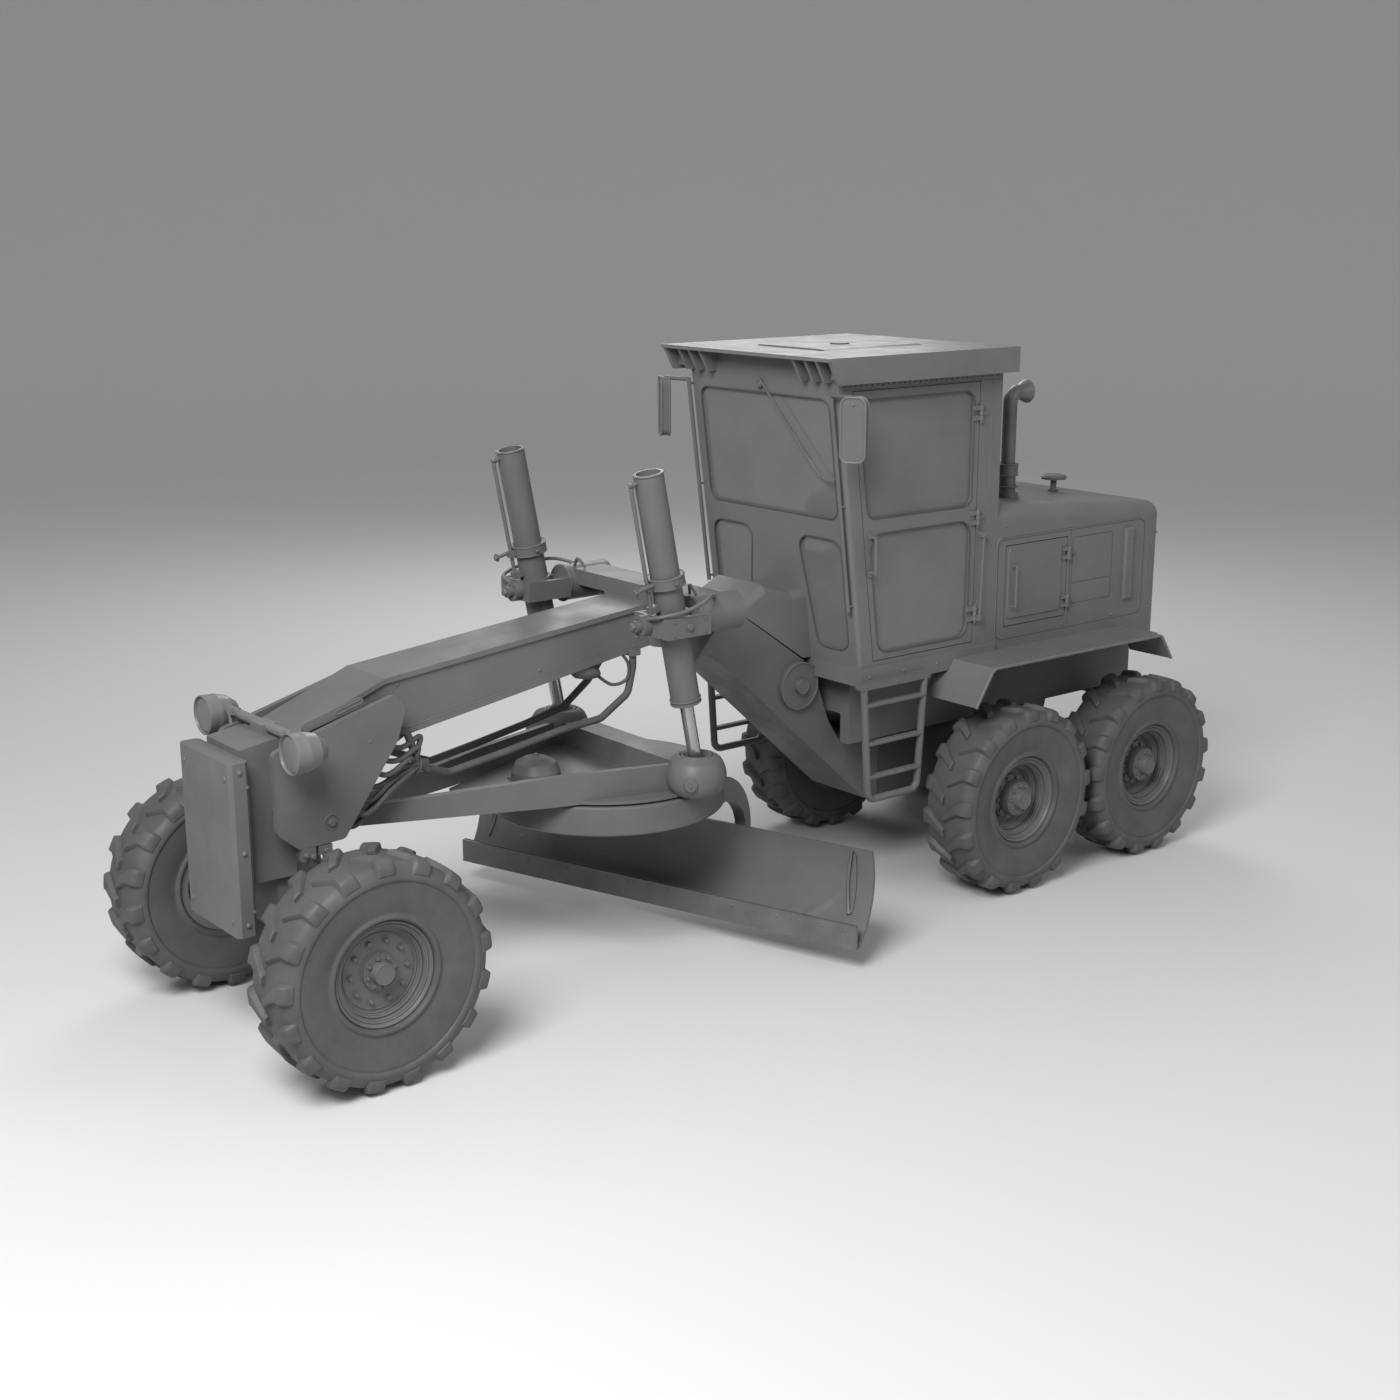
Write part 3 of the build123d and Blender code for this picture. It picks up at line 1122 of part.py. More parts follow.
def door_front_y(z):
    """Y of the door's leaning front edge at a height."""
    return cab_front_y(z, DOOR_FRONT_PILLAR)


def side_windows(low_x, high_x, inset=0.0):
    """The upper and lower window of a door, for their holes or their panes."""
    rear = DOOR_HINGE_Y - 52 - inset
    # low Z, high Z, corner
    table = [
        (WAIST_TOP, CAB_TOP - 100, WINDOW_CORNER),
        (CAB_FLOOR_TOP + 80, WAIST_BOTTOM, LOW_WINDOW_CORNER),
    ]
    shapes = []
    for low_z, high_z, corner in table:
        points = [
            (door_front_y(low_z) + 42 + inset, low_z + inset),
            (rear, low_z + inset),
            (rear, high_z - inset),
            (door_front_y(high_z) + 42 + inset, high_z - inset),
        ]
        shapes.append(along_x(points, low_x, high_x, corner))
    return shapes


def front_windows(inset=0.0):
    """The wide upper window of the front and the two lower ones, for their holes or their panes."""
    wide = CAB_HALF_WIDTH - 90
    outer = CAB_HALF_WIDTH - 85
    low_z = CAB_FLOOR_TOP + 95
    high_z = WAIST_BOTTOM - 35
    # low Z, high Z, low and high X at the foot, low and high X at the head, corner
    table = [
        (WAIST_TOP, CAB_TOP - 90, -wide, wide, -wide, wide, WINDOW_CORNER),
        (low_z, high_z, FRONT_LOW_FOOT, outer, FRONT_LOW_HEAD, outer, FRONT_LOW_CORNER),
        (low_z, high_z, -outer, -FRONT_LOW_FOOT, -outer, -FRONT_LOW_HEAD, FRONT_LOW_CORNER),
    ]
    shapes = []
    for low, high, foot_low, foot_high, head_low, head_high, corner in table:
        points = [
            (foot_low + inset, low + inset),
            (foot_high - inset, low + inset),
            (head_high - inset, high - inset),
            (head_low + inset, high - inset),
        ]
        shapes.append(along_y(points, CAB_FRONT_HEAD - CAB_WALL, CAB_FRONT_FOOT + 3 * CAB_WALL, corner))
    return shapes


def rear_window(low_y, high_y, inset=0.0):
    """The window over the hood, for its hole or its pane."""
    half = CAB_HALF_WIDTH - 140 - inset
    low = HOOD_FRONT_TOP + 105 + inset
    high = CAB_TOP - 100 - inset
    return along_y([(-half, low), (half, low), (half, high), (-half, high)], low_y, high_y, WINDOW_CORNER)


def cab_front_wall():
    """The leaning front wall with a wide upper window, two lower ones and the knee fairing."""
    wall = front_slab(0, CAB_WALL, CAB_HALF_WIDTH)
    for window in front_windows():
        wall -= window
    rising = wall.edges().filter_by(lambda edge: abs(edge.tangent_at(0).Z) > 0.9)
    corners = rising.filter_by(lambda edge: abs(abs(edge.center().X) - CAB_HALF_WIDTH) < SKIN)
    wall = fillet(corners.sort_by(Axis.Y)[:2], CAB_CORNER)
    half = GOOSENECK_HALF_WIDTH
    fairing_top = BEAM_REAR_TOP - 62
    fairing = along_x([
        (CAB_FRONT_HEAD - 412, BEAM_REAR_TOP - 112),
        (CAB_FRONT_HEAD - 168, BEAM_REAR_TOP + 10),
        (CAB_FRONT_HEAD + 57, fairing_top),
        (cab_front_y(fairing_top, 10), fairing_top),
        (cab_front_y(CAB_FLOOR_TOP, 10), CAB_FLOOR_TOP),
        (CAB_FRONT_FOOT - 74, CAB_FLOOR_TOP + 4),
    ], -half, half)
    upper = fairing.faces().filter_by(lambda face: face.normal_at().Z > 0.2).edges()
    ridge = upper.filter_by(lambda edge: abs(edge.center().X) > 0.8 * half)
    return wall + fillet(ridge, FAIRING_CORNER)


def cab_rear_wall():
    """The upright rear wall with its window above the hood."""
    wall = block(-CAB_HALF_WIDTH, CAB_HALF_WIDTH, CAB_REAR - CAB_WALL, CAB_REAR, CAB_FLOOR_TOP, CAB_TOP)
    return wall - rear_window(CAB_REAR - 2 * CAB_WALL, CAB_REAR + CAB_WALL)


def cab_side_frames():
    """The two side frames around the door openings."""
    inside = CAB_HALF_WIDTH - CAB_WALL
    frame = along_x([
        (cab_front_y(CAB_FLOOR_TOP, CAB_WALL), CAB_FLOOR_TOP),
        (cab_front_y(CAB_TOP, CAB_WALL), CAB_TOP),
        (CAB_REAR - CAB_WALL, CAB_TOP),
        (CAB_REAR - CAB_WALL, CAB_FLOOR_TOP),
    ], inside, CAB_HALF_WIDTH)
    gap = DOOR_GAP
    frame -= along_x([
        (door_front_y(DOOR_BOTTOM) - gap, DOOR_BOTTOM - gap),
        (DOOR_HINGE_Y + 2, DOOR_BOTTOM - gap),
        (DOOR_HINGE_Y + 2, DOOR_TOP + gap),
        (door_front_y(DOOR_TOP) - gap, DOOR_TOP + gap),
    ], inside - 10, CAB_HALF_WIDTH + 10)
    for z in HINGE_HEIGHTS:
        pin_y = DOOR_HINGE_Y
        frame += hinge_leaf(CAB_HALF_WIDTH, pin_y, pin_y + 60, z, HINGE_EYE_HEIGHT, pin_y)
        frame += upright(HINGE_X, pin_y, z, HINGE_PIN_RADIUS, 4 * HINGE_EYE_HEIGHT + 10)
    return both_sides(frame)


def hinge_leaf(wall_x, low_y, high_y, z, height, pin_y):
    """A hinge leaf standing on a side wall, with the eye round the pin."""
    leaf = block(wall_x, HINGE_X, low_y, high_y, z - height / 2, z + height / 2)
    return leaf + upright(HINGE_X, pin_y, z, HINGE_PIN_RADIUS + HINGE_WALL, height)


def door_eye(wall_x, low_y, z, height, pin_y):
    """A door's hinge leaf with a running hole for the pin."""
    leaf = hinge_leaf(wall_x, low_y, pin_y, z, height, pin_y)
    return leaf - upright(HINGE_X, pin_y, z, HINGE_PIN_RADIUS + SHAFT_FIT, height + 4)


def cab_door():
    """The left cab door with two windows and its hinge eyes."""
    edge_y = DOOR_HINGE_Y - 4
    panel = along_x([
        (door_front_y(DOOR_BOTTOM), DOOR_BOTTOM),
        (edge_y, DOOR_BOTTOM),
        (edge_y, DOOR_TOP),
        (door_front_y(DOOR_TOP), DOOR_TOP),
    ], CAB_HALF_WIDTH - CAB_WALL, CAB_HALF_WIDTH)
    for window in side_windows(CAB_HALF_WIDTH - CAB_WALL - 30, CAB_HALF_WIDTH + 10):
        panel -= window
    for z in HINGE_HEIGHTS:
        for side in (-1, 1):
            eye_z = z + side * (HINGE_EYE_HEIGHT + 2)
            panel += door_eye(CAB_HALF_WIDTH, edge_y - 60, eye_z, HINGE_EYE_HEIGHT, DOOR_HINGE_Y)
    return panel


def door_handle():
    """The left cab door's grip: an upright bar held off the door by two end blocks."""
    low_z, high_z = HANDLE_HEIGHTS
    y = door_front_y((low_z + high_z) / 2) + HANDLE_INSET
    grip_x = CAB_HALF_WIDTH + HANDLE_REACH
    shape = bar((grip_x, y, low_z - HANDLE_RADIUS), (grip_x, y, high_z + HANDLE_RADIUS), HANDLE_RADIUS)
    for z, way in ((low_z, -1), (high_z, 1)):
        shape += bar((CAB_HALF_WIDTH, y, z), (grip_x, y, z), HANDLE_RADIUS)
        middle_z = z + way * (HANDLE_FOOT / 2 - HANDLE_RADIUS)
        foot = Box(HANDLE_FOOT / 2, 0.8 * HANDLE_FOOT, HANDLE_FOOT)
        shape += Pos(CAB_HALF_WIDTH + HANDLE_FOOT / 4, y, middle_z) * foot
    return shape


def door_glass():
    """The two panes of the left cab door."""
    low = CAB_HALF_WIDTH - GLASS_RECESS - GLASS_THICKNESS
    panes = Part()
    for pane in side_windows(low, low + GLASS_THICKNESS, SEAT_GAP):
        panes += pane
    return panes


def cab_glass():
    """The fixed panes of the front and rear walls."""
    slab = front_slab(GLASS_RECESS, GLASS_RECESS + GLASS_THICKNESS, CAB_HALF_WIDTH)
    panes = Part()
    for window in front_windows(SEAT_GAP):
        panes += slab & window
    rear = CAB_REAR - GLASS_RECESS
    return panes + rear_window(rear - GLASS_THICKNESS, rear, SEAT_GAP)


def cab_floor():
    """The platform under the cab with its mounts on the rear frame."""
    half = CAB_HALF_WIDTH + FLOOR_LEDGE
    shape = block(-half, half, CAB_FRONT_FOOT, CAB_REAR, CAB_FLOOR_BOTTOM, CAB_FLOOR_TOP)
    for y in (CAB_FRONT_FOOT + 210, CAB_REAR - 140):
        shape += both_sides(block(RAIL_INNER, RAIL_OUTER, y, y + 90, RAIL_TOP, CAB_FLOOR_BOTTOM + SKIN))
    notch_half = GOOSENECK_HALF_WIDTH + 32
    notch = along_x([
        (CAB_FRONT_FOOT - 10, CAB_FLOOR_BOTTOM - 6),
        (CAB_FRONT_FOOT - 10, CAB_FLOOR_BOTTOM + 74),
        (CAB_FRONT_FOOT + 50, CAB_FLOOR_BOTTOM - 6),
    ], -notch_half, notch_half)
    return shape - notch


def cab_roof():
    """The roof: a thin lid, deep side panels, a core over the cab and ribs in the front overhang."""
    half = ROOF_HALF_WIDTH
    under_lid = ROOF_TOP - ROOF_SKIN + SKIN
    inside = CAB_HALF_WIDTH - 12
    shape = block(-half, half, ROOF_FRONT, ROOF_REAR, ROOF_TOP - ROOF_SKIN, ROOF_TOP)
    shape += block(-inside, inside, CAB_FRONT_HEAD, CAB_REAR, CAB_TOP, under_lid)
    panel = along_x([
        (ROOF_FRONT + 8, ROOF_TOP - 8),
        (ROOF_FRONT + 92, ROOF_BOTTOM),
        (ROOF_REAR, ROOF_BOTTOM),
        (ROOF_REAR, ROOF_TOP - 8),
    ], half - 30, half)
    soffit = block(inside - SKIN, half - 29, ROOF_FRONT + 120, ROOF_REAR, ROOF_BOTTOM + 26, under_lid)
    shape += both_sides(panel + soffit)
    shape += block(-half, half, ROOF_REAR - 24, ROOF_REAR, ROOF_BOTTOM, under_lid)
    for inset in ROOF_RIB_INSETS:
        rib = along_x([
            (ROOF_FRONT + 22, under_lid),
            (ROOF_FRONT + 96, ROOF_BOTTOM + 6),
            (CAB_FRONT_HEAD + SKIN, ROOF_BOTTOM + 6),
            (CAB_FRONT_HEAD + SKIN, under_lid),
        ], half - inset, half - inset + ROOF_SKIN)
        shape += both_sides(rib)
    middle = (ROOF_FRONT + ROOF_REAR) / 2
    foot = CAB_HALF_WIDTH - 370
    crown = foot - 40
    hatch = [(-foot, ROOF_TOP - 1), (-crown, ROOF_TOP + 9), (crown, ROOF_TOP + 9), (foot, ROOF_TOP - 1)]
    shape += along_y(hatch, middle - HATCH_HALF_LENGTH, middle + HATCH_HALF_LENGTH)
    return shape + upright(0, middle, ROOF_TOP + 12, 62, 12)


def operator_seat():
    """The seat on its box."""
    y = CAB_REAR - 330
    floor = CAB_FLOOR_TOP
    half = SEAT_HALF_WIDTH
    cushion = block(-half, half, y - 250, y + 220, floor + 279, floor + 410)
    rest = along_x([
        (y + 130, floor + 380),
        (y + 215, floor + 1000),
        (y + 280, floor + 1000),
        (y + 230, floor + 380),
    ], 15 - half, half - 15, 25)
    box = block(40 - half, half - 40, y - 200, y + 200, floor, floor + 280)
    return box + fillet(cushion.edges(), 40) + rest


def control_console():
    """The steering column with its wheel on a tapering stand."""
    y = CAB_FRONT_FOOT + 270
    floor = CAB_FLOOR_TOP
    stand = [(y - 130, floor), (y + 90, floor), (y + 30, floor + 620), (y - 80, floor + 640)]
    foot = along_x(stand, -130, 130)
    low = (0, y - 10, floor + 560)
    top = (0, y + 90, floor + 860)
    plane = Plane(origin=top, x_dir=(1, 0, 0), z_dir=Vector(*top) - Vector(*low))
    wheel = plane * Torus(STEERING_RADIUS, STEERING_GRIP)
    spoke = plane * Box(2 * STEERING_RADIUS - 8, 30, 14)
    return foot + bar(low, top, 28) + wheel + spoke


def mirrors():
    """The two mirrors, each on a bracket that runs down the front pillar as a hand rail."""
    x = CAB_HALF_WIDTH + MIRROR_REACH
    y = CAB_FRONT_HEAD - 55
    bracket_z = CAB_TOP - 55
    low_z = CAB_FLOOR_TOP + 375
    face = Plane(origin=(x, y, CAB_TOP - 240), x_dir=(0.87, 0.5, 0), z_dir=(-0.5, 0.87, 0))
    back = fillet(Rectangle(MIRROR_WIDTH, MIRROR_HEIGHT).vertices(), 45)
    shape = extrude(face * back, MIRROR_DEPTH / 2, both=True)
    rail_x = CAB_HALF_WIDTH - 22
    top_y = cab_front_y(CAB_TOP - 60, -RAIL_STAND)
    shape += bar((rail_x, top_y, bracket_z), (x, y, bracket_z), HAND_RAIL_RADIUS)
    low_y = cab_front_y(low_z, -RAIL_STAND)
    shape += bar((rail_x, top_y - 1, CAB_TOP - 44), (rail_x, low_y, low_z), HAND_RAIL_RADIUS)
    for z in (CAB_TOP - 80, WAIST_TOP + 95, low_z + 30):
        shape += bar((rail_x, cab_front_y(z, -RAIL_STAND), z), (rail_x, cab_front_y(z, 10), z), 8)
    return both_sides(shape - front_slab(0, 60, CAB_HALF_WIDTH))


# Rear body


def hood_solid(inset):
    """The hood's outer form, or the inner form of its hollow: a round-edged box that falls to the rear."""
    half = HOOD_HALF_WIDTH - inset
    front = HOOD_FRONT + inset
    rear = HOOD_REAR - inset
    shape = along_x([
        (front, HOOD_BOTTOM),
        (front, HOOD_FRONT_TOP - inset),
        (rear, HOOD_REAR_TOP - inset),
        (rear, HOOD_BOTTOM),
    ], -half, half)
    uprights = shape.edges().filter_by(Axis.Z).sort_by(Axis.Y)[-2:]
    shape = fillet(uprights, HOOD_CORNER - inset)
    crown = shape.faces().sort_by(Axis.Z)[-1]
    front_edge = crown.edges().sort_by(Axis.Y)[0]
    return fillet([edge for edge in crown.edges() if edge != front_edge], HOOD_SHOULDER - inset)


def hood_top(y):
    """Height of the hood's flat top at a Y."""
    share = (y - HOOD_FRONT) / (HOOD_REAR - HOOD_FRONT)
    return HOOD_FRONT_TOP + share * (HOOD_REAR_TOP - HOOD_FRONT_TOP)


def groove(low_y, high_y, low_z, high_z, corner):
    """A shallow seam in the hood's left wall, round a panel with rounded corners."""
    middle = (HOOD_HALF_WIDTH - SEAM_DEPTH, (low_y + high_y) / 2, (low_z + high_z) / 2)
    plane = Plane(origin=middle, x_dir=(0, 1, 0), z_dir=(1, 0, 0))
    width = high_y - low_y
    height = high_z - low_z
    line = RectangleRounded(width + SEAM_WIDTH, height + SEAM_WIDTH, corner + SEAM_WIDTH / 2)
    line -= RectangleRounded(width - SEAM_WIDTH, height - SEAM_WIDTH, corner - SEAM_WIDTH / 2)
    return extrude(plane * line, 3 * SEAM_DEPTH)


def hood():
    """The engine hood: a hollow shell with door openings, side scoops, a rear grille and an intake cap."""
    shape = hood_solid(0) - hood_solid(HOOD_WALL) - Pos(0, 0, -HOOD_WALL - 5) * hood_solid(HOOD_WALL)
    low_y, high_y, low_z, high_z = HOOD_DOOR
    gap = DOOR_GAP
    inside = HOOD_HALF_WIDTH - 2 * HOOD_WALL
    outside = HOOD_HALF_WIDTH + HOOD_WALL
    floor = HOOD_HALF_WIDTH - SEAM_DEPTH
    seam_y = high_y + 30
    seam_z = REAR_PANEL[2] + 140
    cuts = block(inside, outside, low_y - gap, high_y + 2, low_z - gap, high_z + gap)
    cuts += groove(*SIDE_PANEL, 60)
    cuts += groove(*REAR_PANEL, 20)
    cuts += block(floor, outside, seam_y, seam_y + SEAM_WIDTH, SIDE_PANEL[2], SIDE_PANEL[3])
    cuts += block(floor, outside, REAR_PANEL[0], REAR_PANEL[1], seam_z, seam_z + SEAM_WIDTH)
    shape -= both_sides(cuts)
    scoop = block(HOOD_HALF_WIDTH - 8, HOOD_HALF_WIDTH + SCOOP_DEPTH, *SIDE_VENT)
    shape += both_sides(fillet(scoop.faces().sort_by(Axis.X)[-1].edges(), 16))
    for z in HOOD_HINGE_HEIGHTS:
        leaf = hinge_leaf(HOOD_HALF_WIDTH - SKIN, high_y, high_y + 50, z, HOOD_EYE_HEIGHT, high_y)
        shape += both_sides(leaf + upright(HINGE_X, high_y, z, HINGE_PIN_RADIUS, 4 * HOOD_EYE_HEIGHT - 4))
    grille_low, grille_high = GRILLE_HEIGHTS
    half = GRILLE_HALF_WIDTH
    shape -= block(-half, half, HOOD_REAR - 12, HOOD_REAR + 5, grille_low, grille_high)
    pitch = (grille_high - grille_low) / GRILLE_SLATS
    for step in range(GRILLE_SLATS):
        z = grille_low + (step + 0.5) * pitch
        slat = [(-13, -8), (2, -20), (2, -12), (-13, 8)]
        shape += along_x(placed(slat, HOOD_REAR, z), -half, half)
    top = hood_top(STACK_Y)
    shape += bar((STACK_X, STACK_Y, top - 20), (STACK_X, STACK_Y, top + STACK_PAD), STACK_PAD_RADIUS)
    stem_y = HOOD_REAR - 387
    shape += bar((0, stem_y, HOOD_REAR_TOP + 10), (0, stem_y, HOOD_REAR_TOP + 130), 22)
    cap = bar((0, stem_y, HOOD_REAR_TOP + 118), (0, stem_y, HOOD_REAR_TOP + 148), CAP_RADIUS)
    return shape + fillet(cap.edges().sort_by(Axis.Z)[-1], 14)


def hood_door():
    """The left engine door with its raised panel, hinge eyes and bar handle."""
    low_y, high_y, low_z, high_z = HOOD_DOOR
    outer = HOOD_HALF_WIDTH
    shape = block(outer - HOOD_WALL, outer, low_y, high_y - 4, low_z, high_z)
    for z in HOOD_HINGE_HEIGHTS:
        for side in (-1, 1):
            eye_z = z + side * (HOOD_EYE_HEIGHT + 2)
            shape += door_eye(outer - SKIN, high_y - 54, eye_z, HOOD_EYE_HEIGHT, high_y)
    raised = block(outer - SKIN, outer + 9, low_y + 22, high_y - 66, low_z + 50, high_z - 20)
    shape += fillet(raised.edges().filter_by(Axis.X), 30)
    y = low_y + 60
    low = low_z + 130
    high = high_z - 135
    for z in (low, high):
        shape += bar((outer + 8, y, z), (outer + 42, y, z), 8)
    return shape + bar((outer + 42, y, low - 8), (outer + 42, y, high + 8), 8)


def engine_block():
    """The engine as one plain block between the rails."""
    half = RAIL_INNER - 60
    return block(-half, half, HOOD_FRONT + 198, HOOD_REAR - 252, RAIL_BOTTOM + 100, HOOD_BOTTOM + 628)


def fenders():
    """The bent plate fender over the tandem on each side, with a round bead along its edge."""
    front, front_top, rear_top, rear = FENDER_BENDS
    drop = FENDER_THICKNESS
    under = [
        (rear[0] - 8, rear[1] - 5),
        (rear_top[0] - 5, rear_top[1] - drop),
        (front_top[0] + 5, front_top[1] - drop),
        (front[0] + 8, front[1] - 5),
    ]
    shape = along_x([*FENDER_BENDS, *under], CAB_HALF_WIDTH + 20, FENDER_OUTER)
    flap_y = front[0] + 107
    flap_z = front[1] + 164
    flap = [front, (flap_y, flap_z), (flap_y + 10, flap_z), under[3]]
    shape += along_x(flap, CAB_HALF_WIDTH - 90, CAB_HALF_WIDTH + 21)
    shape += along_x([
        (HOOD_FRONT + 3, HOOD_BOTTOM),
        (HOOD_FRONT + 3, front_top[1] - 4),
        (rear_top[0] - 4, rear_top[1] - 1),
        (rear_top[0] - 4, HOOD_BOTTOM),
    ], HOOD_HALF_WIDTH, CAB_HALF_WIDTH + 21)
    edge = [(FENDER_OUTER, y, z - 5) for y, z in FENDER_BENDS]
    path = FilletPolyline(*edge, radius=FENDER_CORNER)
    return both_sides(shape + pipe(path, edge[0], edge[1], FENDER_BEAD))


def ladders():
    """The bent tube ladder under each door, a little narrower at its foot."""
    x = LADDER_X
    top = CAB_FLOOR_BOTTOM
    front_foot = LADDER_FRONT + 52
    rear_foot = LADDER_REAR - 44
    corners = [
        (x, LADDER_FRONT, top),
        (x, front_foot, top - LADDER_DROP),
        (x, rear_foot, top - LADDER_DROP),
        (x, LADDER_REAR, top),
    ]
    shape = pipe(FilletPolyline(*corners, radius=LADDER_BEND), corners[0], corners[1], LADDER_TUBE)
    for drop in LADDER_STEP_DROPS:
        share = drop / LADDER_DROP
        front = LADDER_FRONT + share * (front_foot - LADDER_FRONT)
        rear = LADDER_REAR + share * (rear_foot - LADDER_REAR)
        step = block(x - 26, x + 26, front, rear, top - drop - 13, top - drop + 13)
        shape += fillet(step.edges().filter_by(Axis.Y), 9)
    low_x = CAB_HALF_WIDTH + FLOOR_LEDGE
    shape += block(low_x, x + LADDER_TUBE, LADDER_FRONT - 32, MID_Y - TYRE_RADIUS, top, top + 40)
    return both_sides(shape)


def exhaust_stack():
    """The exhaust pipe behind the cab with its collar and bent, flared mouth."""
    x = STACK_X
    y = STACK_Y
    foot = hood_top(y) + STACK_PAD
    mouth_z = HOOD_FRONT_TOP + STACK_HEIGHT
    mouth_y = y + STACK_BEND + 5
    corner = (x, y, mouth_z)
    path = FilletPolyline((x, y, foot), corner, (x, mouth_y + 1, mouth_z), radius=STACK_BEND)
    shape = pipe(path, (x, y, foot), corner, STACK_RADIUS)
    flare = Plane(origin=(x, mouth_y + FLARE_LENGTH / 2, mouth_z), z_dir=(0, 1, 0))
    hollow = Plane(origin=(x, mouth_y + FLARE_LENGTH / 2 + SKIN, mouth_z), z_dir=(0, 1, 0))
    shape += flare * Cone(STACK_RADIUS, FLARE_RADIUS, FLARE_LENGTH)
    shape -= hollow * Cone(STACK_RADIUS - 8, FLARE_RADIUS - 7, FLARE_LENGTH)
    collar_z = HOOD_FRONT_TOP + 115
    # low Z, high Z, radius
    table = [
        (collar_z, collar_z + 75, STACK_RADIUS + 22),
        (foot, collar_z + SKIN, STACK_RADIUS + 8),
        (foot, foot + 30, STACK_RADIUS + 28),
    ]
    for low, high, radius in table:
        shape += bar((x, y, low), (x, y, high), radius)
    return shape


# Hoses


def hydraulic_hoses():
    """Two thick hoses that hang from the beam over the drawbar, one on each side of the drive dome."""
    end_x, end_y, end_z = HOSE_END
    stretch = (HOSE_REAR_Y - end_y) / HOSE_RUN
    shape = Part()
    for side, (x, y), rows in ((1, HOSE_TOPS[0], LEFT_HOSE), (-1, HOSE_TOPS[1], RIGHT_HOSE)):
        top = beam_underside(y) - HOSE_BOSS
        points = [(x, y, top), (x, y, top - HOSE_BEND)]
        points += [(across, end_y + stretch * along, z) for across, along, z in rows]
        points += [(side * end_x, end_y + HOSE_APPROACH, end_z), (side * end_x, end_y, end_z)]
        shape += pipe(FilletPolyline(*points, radius=HOSE_BEND), points[0], points[1], HOSE_RADIUS)
    return shape


def main():
    wheels()
    write("front_axle", front_axle())
    paired("knuckle", knuckle())
    write("tie_rod", tie_rod())
    write("front_head", front_head())
    write("push_block", push_block())
    write("head_lamps", head_lamps())
    write("front_beam", front_beam())
    write("gooseneck", gooseneck())
    write("rear_frame", rear_frame())
    write("rear_drive", rear_drive())
    write("tandem_cases", tandem_cases())
    write("lift_carrier", lift_carrier())
    lift_cylinders()
    work_gear()
    write("cab_floor", cab_floor())
    write("cab_front_wall", cab_front_wall())
    write("cab_rear_wall", cab_rear_wall())
    write("cab_side_frames", cab_side_frames())
    write("cab_roof", cab_roof())
    write("cab_glass", cab_glass())
    paired("cab_door", cab_door())
    paired("door_glass", door_glass())
    paired("door_handle", door_handle())
    write("operator_seat", operator_seat())
    write("control_console", control_console())
    write("mirrors", mirrors())
    write("hood", hood())
    paired("hood_door", hood_door())
    write("engine_block", engine_block())
    write("fenders", fenders())
    write("ladders", ladders())
    write("exhaust_stack", exhaust_stack())
    write("hydraulic_hoses", hydraulic_hoses())


main()
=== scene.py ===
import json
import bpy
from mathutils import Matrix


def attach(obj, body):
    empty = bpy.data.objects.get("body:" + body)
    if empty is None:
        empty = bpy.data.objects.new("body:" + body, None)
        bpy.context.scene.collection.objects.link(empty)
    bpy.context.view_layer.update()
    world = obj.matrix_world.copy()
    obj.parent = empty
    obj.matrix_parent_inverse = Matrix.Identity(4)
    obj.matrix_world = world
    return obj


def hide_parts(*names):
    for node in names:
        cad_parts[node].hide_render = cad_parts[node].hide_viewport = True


bl_info = {
    "name": "Motor grader dressing",
    "version": (1, 0, 0),
    "blender": (4, 5, 0),
    "location": "View3D > Sidebar > Grader",
    "description": "Dresses the motor grader's CAD frame with tyres, finishes and small fittings",
    "category": "Object",
}

from math import radians

import bmesh
import bpy
import numpy as np

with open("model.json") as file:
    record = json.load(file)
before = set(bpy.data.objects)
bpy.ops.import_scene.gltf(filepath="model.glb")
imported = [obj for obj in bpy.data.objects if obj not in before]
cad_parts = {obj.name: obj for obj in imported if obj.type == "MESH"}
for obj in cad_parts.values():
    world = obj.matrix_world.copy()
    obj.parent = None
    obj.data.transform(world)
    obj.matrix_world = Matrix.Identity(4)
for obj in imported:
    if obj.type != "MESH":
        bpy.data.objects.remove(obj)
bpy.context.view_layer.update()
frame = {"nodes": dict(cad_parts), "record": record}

# Directions on the machine; fittings are drawn on its left side and mirrored
LEFT = (1, 0, 0)
AHEAD = (0, -1, 0)
BACK = (0, 1, 0)
UP = (0, 0, 1)
DOWN = (0, 0, -1)

# Places that the CAD source sets, in metres
FRONT_Y = -3.0345
MID_Y = 1.7495
REAR_Y = 3.0345
AXLE_Z = 0.63
FRONT_WHEEL_X = 0.9
REAR_WHEEL_X = 0.92
BLADE_TURN = radians(18.1)

# Origins that the fittings are drawn from
FRONT_AXLE = (0, FRONT_Y, 0)
MID_AXLE = (0, MID_Y, 0)
CARRIER = (0, MID_Y - 2.644, 2.12)
CIRCLE = (0, MID_Y - 2.62, 0)
SEAT_FOOT = (0.0, MID_Y - 0.29, 1.625)

# Places that several fittings share, from those origins: the left lamp's mouth, the lift barrels, the ball
# cups, the drawbar's dome, and the outer faces of the left door, hood, side plate and beam
LAMP = (0.506, -0.191, 1.716)
BARREL_X = 0.69
CUP_Y = -2.47
DOME_Y = -3.14
DOOR_X = 0.7005
HOOD_X = 0.6975
PLATE_X = 0.3245
BEAM_X = 0.189

# Radii of the window seals, the cab's seams, the beam's welds, the nose's hoses and the seat's piping
SEAL = 0.0055
SEAM = 0.0028
WELD = 0.0045
HOSE = 0.0155
PIPING = 0.0045

# How make_piece merges points and keeps edges sharp
MERGE_DISTANCE = 2e-6
SHARP_ANGLE = radians(38)

